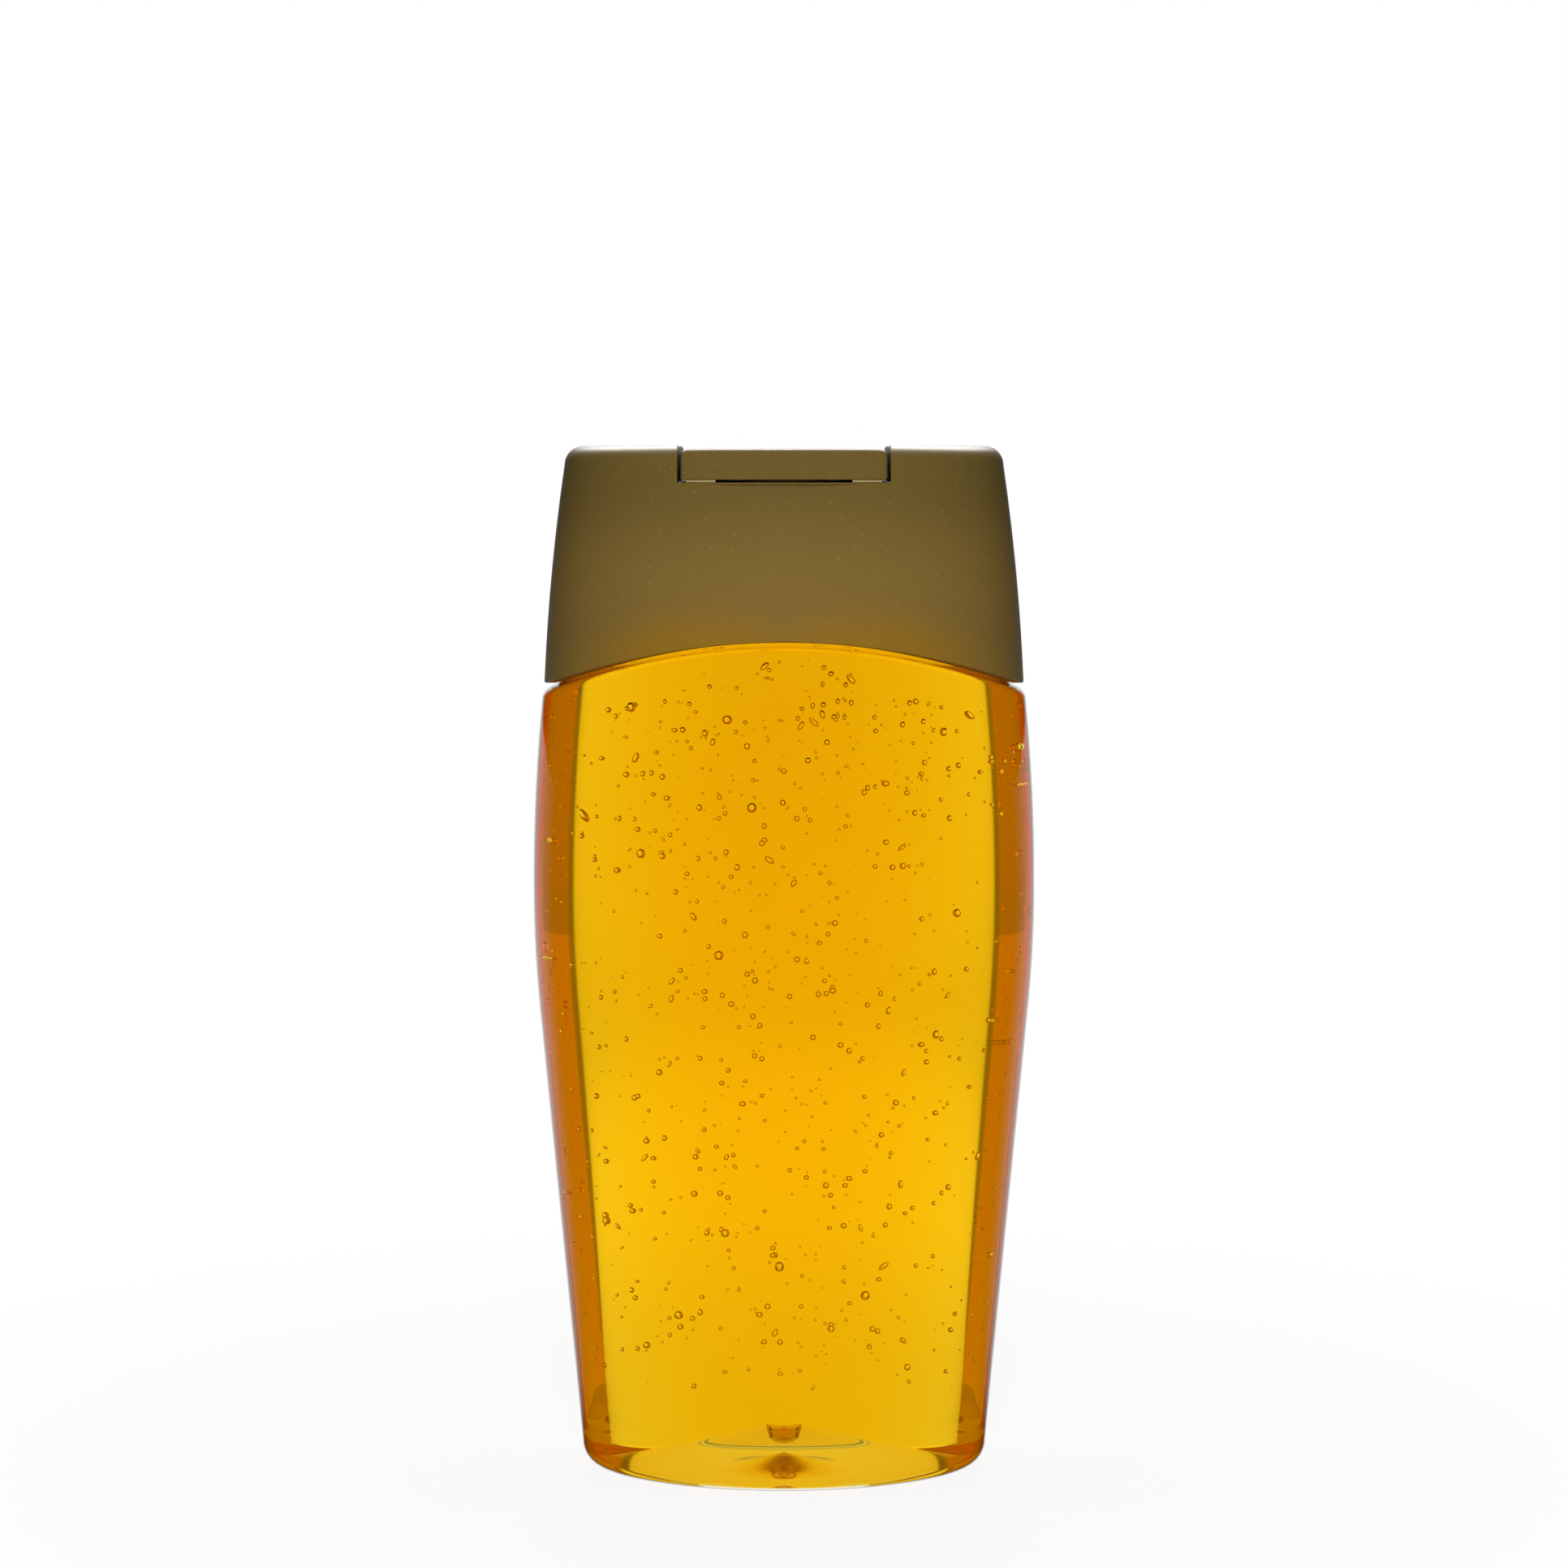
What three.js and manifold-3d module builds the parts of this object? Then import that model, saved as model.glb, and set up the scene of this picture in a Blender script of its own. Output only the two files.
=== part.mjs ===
import * as THREE from 'three';
import { mergeVertices } from 'three/addons/utils/BufferGeometryUtils.js';
import Module from 'manifold-3d';

// A clear oval squeeze bottle of honey, with a push-on closure and a flip lid.
// Millimetres, +Z up, origin on the standing surface under the middle of the bottle.
// The lid's hinge is on the broad side that faces -Y, and its thumb lip on the side that faces +Y.

// Bottle body
const BODY_WIDTH = 80; // at the widest level
const BODY_DEPTH = 50; // at the widest level, from front to back
const WIDEST_HEIGHT = 93;
const UPPER_SIDE_RADIUS = 310; // the side's arc above the widest level
const LOWER_SIDE_RADIUS = 200; // the side's arc below it, down to the straight taper
const SIDE_TAPER = 5.34; // degrees from upright, of the straight lower side
const HEEL_RADIUS = 3.5;
const CONTACT_RING = 1; // width of the flat ring that the bottle stands on
const PUSH_UP = 4; // height of the cone under the base
const GATE_RADIUS = 2.4; // the moulding gate's nub in the middle of that cone
const GATE_TIP = 0.7; // radius of the nub's flat tip
const GATE_HEIGHT = 1.5;
const BASE_THICKNESS = 4; // over the gate, where the plastic wasn't stretched; it thins out to the heel
const BOTTLE_WALL = 0.9;

// Bottle shoulder and neck
const SEAM_HEIGHT = 125.7; // the shoulder's ledge under the closure, at the narrow ends
const ARCH_RISE = 7.5; // how much higher that ledge lies on the broad sides
const SHOULDER_RADIUS = 2;
const SHOULDER_RISE = 13; // from the ledge at the narrow ends to the root of the neck
const NECK_RADIUS = 12.8;
const NECK_WALL = 1.6;
const NECK_HEIGHT = 17.6;
const NECK_FILLET = 1.5;
const RIM_ROUND = 0.4;
const BEAD_STAND = 0.7; // how far the snap bead stands out from the neck
const BEAD_HEIGHT = 2.2;
const BEAD_BELOW_RIM = 13; // from the rim down to the bead's lower side

// Contents
const HEADSPACE = 13; // from the rim down to the honey
const HONEY_GAP = 0.3;

// Closure
const SEAM_GAP = 0.6; // between the ledge and the closure's skirt
const SEAM_STEP = 0.1; // the skirt lies this far inside the bottle's side
const CAP_DRAFT = 2.55; // degrees from upright, of the skirt at its lower edge
const CAP_SIDE_RADIUS = 325;
const CAP_WALL = 1.6;
const CAP_TOP_ROUND = 3;
const DECK_THICKNESS = 1.6;
const SEAT_GAP = 0.3; // between touching pieces
const COLLAR_WALL = 1.4;
const SNAP_CLEARANCE = 0.1; // the collar's lip, at its stretched size, passes the bead
const LIP_HEIGHT = 1.5;
const PLUG_WALL = 1;
const PLUG_LENGTH = 4.4;
const SPOUT_BORE = 10;
const SPOUT_WALL = 1.5;
const SCOOP_RADIUS = 10; // the thumb's hollow under the lip
const SCOOP_DEPTH = 0.9;
const SCOOP_BELOW_DECK = 3.5;

// Lid and its hinge
const LID_WIDTH = 31.9;
const LID_SIDE_GAP = 0.45;
const LID_SLOT = 0.43; // between the deck and the lid's lower edge
const LID_HEIGHT = 4.77;
const LID_SUNK = 0.4; // the lid's top lies this far below the closure's ends
const LID_PLATE = 1.5;
const LID_WALL = 1.3;
const LID_TOP_ROUND = 1.2;
const LIP_WIDTH = 15; // the thumb lip
const LIP_REACH = 1.9;
const LIP_THICKNESS = 1.7;
const STOPPER_WALL = 1; // the ring under the lid that closes the spout
const STOPPER_DIP = 1.1;
const SPOUT_HEADROOM = 1; // between the spout and the lid's plate
const STRAP_WIDTH = 4.6;
const STRAP_THICKNESS = 0.45;
const STRAP_ROOT = 0.9; // how far a strap runs into the cap and into the lid
const STRAP_FROM_END = 0.85; // from the lid's end to the strap
const STRAP_POCKET_GAP = 0.3;
const RELIEF_RADIUS = 2.2; // the rounded edge that the lid's back swings over
const RELIEF_DROP = 0.25;

// Valve under the spout
const FLANGE_THICKNESS = 1.2;
const VALVE_GAP = 0.4; // round the valve's head in the spout
const HEAD_HEIGHT = 1.6; // of the valve's head above its flange
const HEAD_WALL = 0.9;
const DISH_DEPTH = 1.2;
const SLIT_LENGTH = 5.6;
const SLIT_WIDTH = 0.2;
const RETAINER_HEIGHT = 1.8;
const RETAINER_BEVEL = 0.5;

// Facets
const OVAL_SEGMENTS = 40;
const ROUND_SEGMENTS = 24;
const WALL_RINGS = 8;
const SKIRT_RINGS = 5;
const DOME_RINGS = 4;
const PUSH_UP_RINGS = 3;
const FLOOR_POINTS = PUSH_UP_RINGS + 3; // of an outline: the middle, the gate's tip and the cone's rings
const ARC_STEPS = 3;
const PAST = 30; // a cutter runs this far past what it cuts

const wasm = await Module();
wasm.setup();

const radians = THREE.MathUtils.degToRad;
const lerp = THREE.MathUtils.lerp;
const point = (across, up) => new THREE.Vector2(across, up);

// Levels and radii that follow from the sizes above
const neckRoot = SEAM_HEIGHT + SHOULDER_RISE;
const neckRim = neckRoot + NECK_HEIGHT;
const neckBore = NECK_RADIUS - NECK_WALL;
const beadRadius = NECK_RADIUS + BEAD_STAND;
const beadLow = neckRim - BEAD_BELOW_RIM;
const honeyLevel = neckRim - HEADSPACE;
const skirtLow = SEAM_HEIGHT + SEAM_GAP;
const deckUnder = neckRim + SEAT_GAP;
const deckTop = deckUnder + DECK_THICKNESS;
const lidLow = deckTop + LID_SLOT;
const lidTop = lidLow + LID_HEIGHT;
const lidUnder = lidTop - LID_PLATE;
const capTop = lidTop + LID_SUNK;
const recessHalf = LID_WIDTH / 2 + LID_SIDE_GAP;
const spoutRadius = SPOUT_BORE / 2;
const spoutTop = lidUnder - SPOUT_HEADROOM;
const plugRadius = neckBore - SEAT_GAP;
const plugInner = plugRadius - PLUG_WALL;

// Half of the bottle's width at a height: an arc above the widest level, an arc and a straight taper below
function halfWidth(height) {
  const up = height - WIDEST_HEIGHT;
  const taper = radians(SIDE_TAPER);
  const radius = up > 0 ? UPPER_SIDE_RADIUS : LOWER_SIDE_RADIUS;
  const arcReach = up > 0 ? up : Math.min(-up, radius * Math.sin(taper));
  const onArc = radius - Math.sqrt(radius ** 2 - arcReach ** 2);
  const onTaper = (Math.abs(up) - arcReach) * Math.tan(taper);
  return BODY_WIDTH / 2 - onArc - onTaper;
}

// Half of the closure's width at a height
function capHalfWidth(height) {
  const up = height - skirtLow;
  const atRim = halfWidth(skirtLow) - SEAM_STEP;
  return atRim - up * Math.tan(radians(CAP_DRAFT)) - up ** 2 / (2 * CAP_SIDE_RADIUS);
}

const slimness = BODY_DEPTH / BODY_WIDTH;
const halfDepth = (height) => halfWidth(height) * slimness;
const capHalfDepth = (height) => capHalfWidth(height) * slimness;

// Points on an arc or an oval arc round a centre, angles in degrees
function arc(center, across, up, from, to, steps = ARC_STEPS) {
  const points = [];
  for (let step = 0; step <= steps; step++) {
    const angle = radians(lerp(from, to, step / steps));
    points.push(point(center.x + across * Math.cos(angle), center.y + up * Math.sin(angle)));
  }
  return points;
}

// Moves an outline to its left, which is inwards where it runs from the base outwards and up
function inset(outline, distance) {
  return outline.map((here, i) => {
    const before = outline[Math.max(i - 1, 0)];
    const after = outline[Math.min(i + 1, outline.length - 1)];
    const along = after.clone().sub(before).normalize();
    const across = i === 0 ? 0 : here.x - along.y * distance;
    return point(across, here.y + along.x * distance);
  });
}

// Skins a body through oval rings. Each ring takes its half-width and level from the side outline, and
// its half-depth and level from the front one; both outlines start and end on the axis.
function loft(side, front, segments = OVAL_SEGMENTS) {
  const positions = [0, 0, side[0].y];
  for (let ring = 1; ring < side.length - 1; ring++) {
    for (let i = 0; i < segments; i++) {
      const angle = (2 * Math.PI * i) / segments;
      const lift = (front[ring].y - side[ring].y) * Math.sin(angle) ** 2;
      positions.push(side[ring].x * Math.cos(angle), front[ring].x * Math.sin(angle), side[ring].y + lift);
    }
  }
  positions.push(0, 0, side.at(-1).y);
  const last = positions.length / 3 - 1;
  const index = [];
  const rings = side.length - 2;
  for (let i = 0; i < segments; i++) {
    const next = (i + 1) % segments;
    index.push(0, 1 + next, 1 + i);
    for (let ring = 0; ring < rings - 1; ring++) {
      const low = 1 + ring * segments;
      const high = low + segments;
      index.push(low + i, low + next, high + next, low + i, high + next, high + i);
    }
    const top = 1 + (rings - 1) * segments;
    index.push(top + i, top + next, last);
  }
  const geometry = new THREE.BufferGeometry();
  geometry.setAttribute('position', new THREE.Float32BufferAttribute(positions, 3));
  geometry.setIndex(index);
  return geometry;
}

// Turns an outline round the upright axis
function turned(outline, segments = OVAL_SEGMENTS) {
  return new THREE.LatheGeometry(outline, segments).rotateX(Math.PI / 2);
}

// A ring of square section round the upright axis
function tube(inner, outer, low, high, segments = OVAL_SEGMENTS) {
  const corners = [point(inner, low), point(outer, low), point(outer, high), point(inner, high)];
  return turned([...corners, corners[0].clone()], segments);
}

// A box between two corners
function block(low, high) {
  const size = high.clone().sub(low);
  const middle = low.clone().add(high).multiplyScalar(0.5);
  return new THREE.BoxGeometry(size.x, size.y, size.z).translate(middle.x, middle.y, middle.z);
}

// A closed geometry as a solid for joining and cutting
function solid(geometry) {
  const bare = geometry.clone();
  bare.deleteAttribute('normal');
  bare.deleteAttribute('uv');
  const merged = mergeVertices(bare, 1e-4);
  const vertProperties = new Float32Array(merged.attributes.position.array);
  const triVerts = new Uint32Array(merged.index.array);
  return new wasm.Manifold(new wasm.Mesh({ numProp: 3, vertProperties, triVerts }));
}

function geometryOf(body) {
  const mesh = body.getMesh();
  const geometry = new THREE.BufferGeometry();
  geometry.setAttribute('position', new THREE.BufferAttribute(new Float32Array(mesh.vertProperties), 3));
  geometry.setIndex(new THREE.BufferAttribute(new Uint32Array(mesh.triVerts), 1));
  geometry.computeVertexNormals();
  return geometry;
}

// Outline of the bottle's outer skin, from the middle of the base to the root of the neck
function skinOutline(halfAt, seam) {
  const standing = halfAt(HEEL_RADIUS) - HEEL_RADIUS;
  const coneEdge = standing - CONTACT_RING;
  const wallTop = seam - SHOULDER_RADIUS;
  const points = [point(0, PUSH_UP - GATE_HEIGHT), point(GATE_TIP, PUSH_UP - GATE_HEIGHT)];
  for (let ring = 0; ring <= PUSH_UP_RINGS; ring++) {
    const part = ring / PUSH_UP_RINGS;
    points.push(point(lerp(GATE_RADIUS, coneEdge, part), lerp(PUSH_UP, 0, part)));
  }
  points.push(...arc(point(standing, HEEL_RADIUS), HEEL_RADIUS, HEEL_RADIUS, -90, 0));
  for (let ring = 1; ring < WALL_RINGS; ring++) {
    const height = lerp(HEEL_RADIUS, wallTop, ring / WALL_RINGS);
    points.push(point(halfAt(height), height));
  }
  const ledge = halfAt(wallTop) - SHOULDER_RADIUS;
  points.push(...arc(point(ledge, wallTop), SHOULDER_RADIUS, SHOULDER_RADIUS, 0, 90));
  for (let ring = 1; ring <= DOME_RINGS; ring++) {
    const part = ring / DOME_RINGS;
    const rise = (neckRoot - seam) * Math.sin((part * Math.PI) / 2);
    points.push(point(lerp(ledge, NECK_RADIUS + NECK_FILLET, part), seam + rise));
  }
  return points;
}

// Outline of the inside of the bottle: over the base's thick middle, then the skin set in by the wall, then
// up into the neck's bore
function insideOutline(halfAt, seam) {
  const within = inset(skinOutline(halfAt, seam), BOTTLE_WALL);
  const floor = within.slice(0, FLOOR_POINTS);
  const floorEdge = floor.at(-1).clone();
  for (const spot of floor) {
    spot.y = lerp(PUSH_UP + BASE_THICKNESS, floorEdge.y, spot.x / floorEdge.x);
  }
  const root = within.pop();
  const middle = point(root.x, neckRoot + NECK_FILLET);
  return [...within, ...arc(middle, root.x - neckBore, middle.y - root.y, -90, -180)];
}

// Outline of the neck, from its root over the snap bead and the rim to the bore
function neckOutline() {
  const rimEdge = neckRim - RIM_ROUND;
  return [
    ...arc(point(NECK_RADIUS + NECK_FILLET, neckRoot + NECK_FILLET), NECK_FILLET, NECK_FILLET, -90, -180),
    point(NECK_RADIUS, beadLow),
    point(beadRadius, beadLow + BEAD_STAND),
    point(beadRadius, beadLow + BEAD_HEIGHT / 2),
    point(NECK_RADIUS, beadLow + BEAD_HEIGHT),
    point(NECK_RADIUS, rimEdge),
    point(NECK_RADIUS - RIM_ROUND, neckRim),
    point(neckBore + RIM_ROUND, neckRim),
    point(neckBore, rimEdge),
  ];
}

function bottleGeometry() {
  const wholeOutline = (halfAt, seam) => [
    ...skinOutline(halfAt, seam).slice(0, -1),
    ...neckOutline(),
    ...insideOutline(halfAt, seam).reverse(),
  ];
  return loft(wholeOutline(halfWidth, SEAM_HEIGHT), wholeOutline(halfDepth, SEAM_HEIGHT + ARCH_RISE));
}

function honeyGeometry() {
  const filledOutline = (halfAt, seam) => [
    ...inset(insideOutline(halfAt, seam), HONEY_GAP),
    point(neckBore - HONEY_GAP, honeyLevel),
    point(0, honeyLevel),
  ];
  return loft(filledOutline(halfWidth, SEAM_HEIGHT), filledOutline(halfDepth, SEAM_HEIGHT + ARCH_RISE));
}

// The closure's outer form as a block, set in by a wall, with its lower edge lowered by an overrun
function capForm(top, round, wall = 0, overrun = 0) {
  const edge = Math.max(round - wall, SEAT_GAP);
  const level = top - wall;
  const formOutline = (halfAt, low) => {
    const points = [point(0, skirtLow - overrun), point((halfAt(low) - wall) / 2, low - overrun)];
    points.push(point(halfAt(low) - wall, low - overrun));
    for (let ring = overrun > 0 ? 0 : 1; ring < SKIRT_RINGS; ring++) {
      const height = lerp(low, level - edge, ring / SKIRT_RINGS);
      points.push(point(halfAt(height) - wall, height));
    }
    const corner = point(halfAt(level - edge) - wall - edge, level - edge);
    return [...points, ...arc(corner, edge, edge, 0, 90), point(0, level)];
  };
  return solid(loft(formOutline(capHalfWidth, skirtLow), formOutline(capHalfDepth, skirtLow + ARCH_RISE)));
}

// Where the lid's flat back stands: on the closure's face at the middle of a strap
const strapOuter = LID_WIDTH / 2 - STRAP_FROM_END;
const strapInner = strapOuter - STRAP_WIDTH;
const strapMiddle = (strapInner + strapOuter) / 2;
const faceAt = (across, height) => {
  const share = across / capHalfWidth(height);
  return capHalfDepth(height) * Math.sqrt(1 - share ** 2);
};
const hingeBack = -faceAt(strapMiddle, lidLow);
const thumbFace = faceAt(0, lidLow);

// The snap lip inside the collar's lower end, under the neck's bead
function collarOutline() {
  const inner = beadRadius + SEAT_GAP + SNAP_CLEARANCE;
  const lip = beadRadius + SNAP_CLEARANCE;
  const start = point(inner, deckTop);
  return [
    start,
    point(inner, beadLow),
    point(lip, beadLow - SEAT_GAP),
    point(lip, beadLow - LIP_HEIGHT),
    point(inner, beadLow - LIP_HEIGHT - SEAT_GAP),
    point(inner + COLLAR_WALL, beadLow - LIP_HEIGHT - SEAT_GAP),
    point(inner + COLLAR_WALL, deckTop),
    start.clone(),
  ];
}

// The rounded edge of the deck at the hinge, which leaves room for the lid's back as it swings
function hingeRelief() {
  const edge = deckTop - RELIEF_DROP;
  const shape = new THREE.Shape();
  shape.moveTo(hingeBack, edge);
  shape.absarc(hingeBack, edge - RELIEF_RADIUS, RELIEF_RADIUS, Math.PI / 2, Math.PI, false);
  shape.lineTo(hingeBack - PAST, edge - RELIEF_RADIUS);
  shape.lineTo(hingeBack - PAST, edge + PAST);
  shape.lineTo(hingeBack, edge + PAST);
  const width = 2 * recessHalf;
  const cutter = new THREE.ExtrudeGeometry(shape, { depth: width, bevelEnabled: false, curveSegments: 6 });
  const standing = new THREE.Matrix4().makeBasis(
    new THREE.Vector3(0, 1, 0),
    new THREE.Vector3(0, 0, 1),
    new THREE.Vector3(1, 0, 0),
  );
  return solid(cutter.applyMatrix4(standing).translate(-recessHalf, 0, 0));
}

// Room for a strap in the edges of the deck and the lid
function strapPocket(side) {
  const gap = STRAP_POCKET_GAP;
  const ends = [side * (strapInner - gap), side * (strapOuter + gap)].sort((a, b) => a - b);
  const back = hingeBack + STRAP_THICKNESS + gap;
  const low = deckTop - STRAP_ROOT - gap;
  const high = lidLow + STRAP_ROOT + gap;
  return solid(block(new THREE.Vector3(ends[0], back - PAST, low), new THREE.Vector3(ends[1], back, high)));
}

function strapGeometry(side) {
  const ends = [side * strapInner, side * strapOuter].sort((a, b) => a - b);
  const low = new THREE.Vector3(ends[0], hingeBack, deckTop - STRAP_ROOT);
  const high = new THREE.Vector3(ends[1], hingeBack + STRAP_THICKNESS, lidLow + STRAP_ROOT);
  return block(low, high);
}

function capGeometry() {
  const recessWall = recessHalf + CAP_WALL;
  const recess = block(
    new THREE.Vector3(-recessHalf, -BODY_DEPTH, deckTop),
    new THREE.Vector3(recessHalf, BODY_DEPTH, capTop + PAST),
  );
  const recessShell = block(
    new THREE.Vector3(-recessWall, -BODY_DEPTH, deckUnder),
    new THREE.Vector3(recessWall, BODY_DEPTH, capTop + PAST),
  );
  const scoop = new THREE.CylinderGeometry(SCOOP_RADIUS, SCOOP_RADIUS, LID_WIDTH, OVAL_SEGMENTS);
  scoop.rotateZ(Math.PI / 2);
  scoop.translate(0, thumbFace + SCOOP_RADIUS - SCOOP_DEPTH, deckTop - SCOOP_BELOW_DECK);
  const hollow = capForm(capTop, CAP_TOP_ROUND, CAP_WALL, PAST).subtract(solid(recessShell));
  return geometryOf(
    capForm(capTop, CAP_TOP_ROUND)
      .subtract(hollow)
      .subtract(solid(recess))
      .subtract(solid(scoop))
      .subtract(hingeRelief())
      .subtract(strapPocket(-1))
      .subtract(strapPocket(1))
      .add(solid(turned(collarOutline())))
      .add(solid(tube(plugInner, plugRadius, deckUnder - PLUG_LENGTH, deckTop)))
      .add(solid(tube(spoutRadius, spoutRadius + SPOUT_WALL, deckUnder, spoutTop)))
      .subtract(solid(new THREE.CylinderGeometry(spoutRadius, spoutRadius, PAST, OVAL_SEGMENTS)
        .rotateX(Math.PI / 2).translate(0, 0, deckTop))),
  );
}

// The thumb lip: an oval tab along the lid's lower edge
function thumbLip() {
  const tab = new THREE.CylinderGeometry(1, 1, LIP_THICKNESS, ROUND_SEGMENTS).rotateX(Math.PI / 2);
  tab.scale(LIP_WIDTH / 2, LIP_REACH + LID_WALL, 1);
  return solid(tab.translate(0, thumbFace - LID_WALL, lidLow + LIP_THICKNESS / 2));
}

function lidGeometry() {
  const half = LID_WIDTH / 2;
  const outside = block(
    new THREE.Vector3(-half, hingeBack, lidLow),
    new THREE.Vector3(half, BODY_DEPTH, capTop + PAST),
  );
  const inside = block(
    new THREE.Vector3(LID_WALL - half, hingeBack + LID_WALL, lidLow - PAST),
    new THREE.Vector3(half - LID_WALL, BODY_DEPTH, lidUnder),
  );
  const stopperRadius = spoutRadius - SEAT_GAP;
  const stopperTop = lidTop - LID_PLATE / 2;
  const stopper = tube(stopperRadius - STOPPER_WALL, stopperRadius, spoutTop - STOPPER_DIP, stopperTop);
  return geometryOf(
    capForm(lidTop, LID_TOP_ROUND)
      .intersect(solid(outside))
      .add(thumbLip())
      .subtract(capForm(lidTop, LID_TOP_ROUND, LID_WALL, PAST).intersect(solid(inside)))
      .subtract(strapPocket(-1))
      .subtract(strapPocket(1))
      .add(solid(stopper)),
  );
}

// The valve: a flange under the deck, a sleeve through it, and a dished head with a cross slit
function valveGeometry() {
  const flangeTop = deckUnder - SEAT_GAP;
  const flangeLow = flangeTop - FLANGE_THICKNESS;
  const headRadius = spoutRadius - VALVE_GAP;
  const headTop = flangeTop + HEAD_HEIGHT;
  const dishBottom = headTop - DISH_DEPTH;
  const flangeRadius = plugInner - SEAT_GAP;
  const within = headRadius - HEAD_WALL;
  const outline = [
    ...arc(point(0, headTop), within, DISH_DEPTH, -90, 0),
    point(headRadius, headTop),
    point(headRadius, flangeTop),
    point(flangeRadius, flangeTop),
    point(flangeRadius, flangeLow),
    point(within, flangeLow),
    point(within - HEAD_WALL / 2, dishBottom),
    point(0, dishBottom - HEAD_WALL),
  ];
  let valve = solid(turned(outline.reverse(), ROUND_SEGMENTS));
  for (const turn of [0, Math.PI / 2]) {
    valve = valve.subtract(solid(new THREE.BoxGeometry(SLIT_LENGTH, SLIT_WIDTH, PAST).rotateZ(turn)
      .translate(0, 0, dishBottom)));
  }
  return geometryOf(valve);
}

// The ring that is pressed into the plug under the valve's flange
function retainerGeometry() {
  const high = deckUnder - 2 * SEAT_GAP - FLANGE_THICKNESS;
  const low = high - RETAINER_HEIGHT;
  const outer = plugInner - SEAT_GAP;
  const inner = spoutRadius;
  const start = point(inner, low + RETAINER_BEVEL);
  return turned([
    start,
    point(inner + RETAINER_BEVEL, low),
    point(outer - RETAINER_BEVEL, low),
    point(outer, low + RETAINER_BEVEL),
    point(outer, high),
    point(inner, high),
    start.clone(),
  ], ROUND_SEGMENTS);
}

const pet = { color: 0xf6efe6, roughness: 0.08, metalness: 0, transparent: true, opacity: 0.3 };
const amber = { color: 0xf0a600, roughness: 0.1, metalness: 0 };
const goldOlive = { color: 0x76602f, roughness: 0.42, metalness: 0.1 };
const silicone = { color: 0xefebe2, roughness: 0.6, metalness: 0 };
const natural = { color: 0xe6dfce, roughness: 0.5, metalness: 0 };

const group = new THREE.Group();

function place(name, geometry, finish) {
  const mesh = new THREE.Mesh(geometry, new THREE.MeshStandardMaterial(finish));
  mesh.name = name;
  group.add(mesh);
}

place('bottle', bottleGeometry(), pet);
place('honey', honeyGeometry(), amber);
place('cap_body', capGeometry(), goldOlive);
place('flip_lid', lidGeometry(), goldOlive);
place('hinge_strap_left', strapGeometry(-1), goldOlive);
place('hinge_strap_right', strapGeometry(1), goldOlive);
place('slit_valve', valveGeometry(), silicone);
place('valve_retainer', retainerGeometry(), natural);

export default group;
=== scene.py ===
import math
import random

import bmesh
import bpy
from mathutils import Matrix, Vector


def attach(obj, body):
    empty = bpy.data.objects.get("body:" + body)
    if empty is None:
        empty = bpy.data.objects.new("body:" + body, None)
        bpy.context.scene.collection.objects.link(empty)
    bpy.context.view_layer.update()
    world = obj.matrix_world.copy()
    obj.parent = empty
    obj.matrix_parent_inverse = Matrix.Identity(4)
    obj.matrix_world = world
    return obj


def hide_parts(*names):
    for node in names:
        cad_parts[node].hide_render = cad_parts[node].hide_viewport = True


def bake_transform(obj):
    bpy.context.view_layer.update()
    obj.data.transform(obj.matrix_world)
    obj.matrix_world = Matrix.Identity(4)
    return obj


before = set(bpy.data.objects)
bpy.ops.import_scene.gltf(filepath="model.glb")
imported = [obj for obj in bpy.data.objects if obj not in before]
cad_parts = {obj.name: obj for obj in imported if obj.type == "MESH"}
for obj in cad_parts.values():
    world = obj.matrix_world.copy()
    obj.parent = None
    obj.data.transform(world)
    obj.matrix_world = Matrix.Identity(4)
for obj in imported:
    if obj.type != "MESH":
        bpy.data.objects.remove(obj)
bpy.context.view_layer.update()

MM = 0.001

# Sizes of the real object in millimetres. The base, the wall, the shoulder on the broad faces, the lid's edge
# and the straps' place are drawn finer here than in the solids, and the rest is the same
BODY_WIDTH = 80
BODY_DEPTH = 50
WIDEST_HEIGHT = 93
UPPER_SIDE_RADIUS = 310
LOWER_SIDE_RADIUS = 200
SIDE_TAPER = math.radians(5.34)
HEEL_RADIUS = 3.5
FACE_HEEL_RUN = 3  # flatter on the broad faces
FACE_HEEL_RISE = 1
CONTACT_RING = 0.4
PUSH_UP = 0.4  # the base is all but level, apart from a dimple for the moulding gate
GATE_RADIUS = 9
GATE_RISE = 2.7
GATE_POWER = 1.3  # how the dimple's slope eases towards its edge
FLOOR_CREST = 8.8  # of the clear plastic over the gate, which thins out to the heel
ROD_MARK_RADIUS = 2.5  # the eight-sided dent that the stretching rod left there
ROD_MARK_DEPTH = 2.5
ROD_MARK_FLAT = 0.8  # share of its radius that its flat bottom takes
HEEL_WETTING = 13  # how far along the broad faces the honey wets the base's edge too
HEEL_WETTING_RISE = 0.3  # and how far above the heel
BOTTLE_WALL = 0.12  # the solid's wall is thicker; through a real one the honey seems to reach the outside
SEAM_HEIGHT = 125.7
ARCH_RISE = 7.5
SHOULDER_RADIUS = 2
FACE_SHOULDER_RADIUS = 0.7  # tighter on the broad faces, where the skirt sits close on it
NECK_ROOT = 138.7
NECK_RIM = 156.3
NECK_RADIUS = 12.8
NECK_BORE = 11.2
NECK_FILLET = 1.5
RIM_ROUND = 0.4
BEAD_RADIUS = 13.5
BEAD_LOW = 143.3
BEAD_HEIGHT = 2.2
BEAD_EDGE = 0.1
HONEY_LEVEL = 143.3
HONEY_GAP = 0.03
MENISCUS = 0.8
SKIRT_LOW = 126.3
SKIRT_EDGE = 0.3  # rounding of the skirt's lower edge
SKIRT_STEP = 0.1
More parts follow.
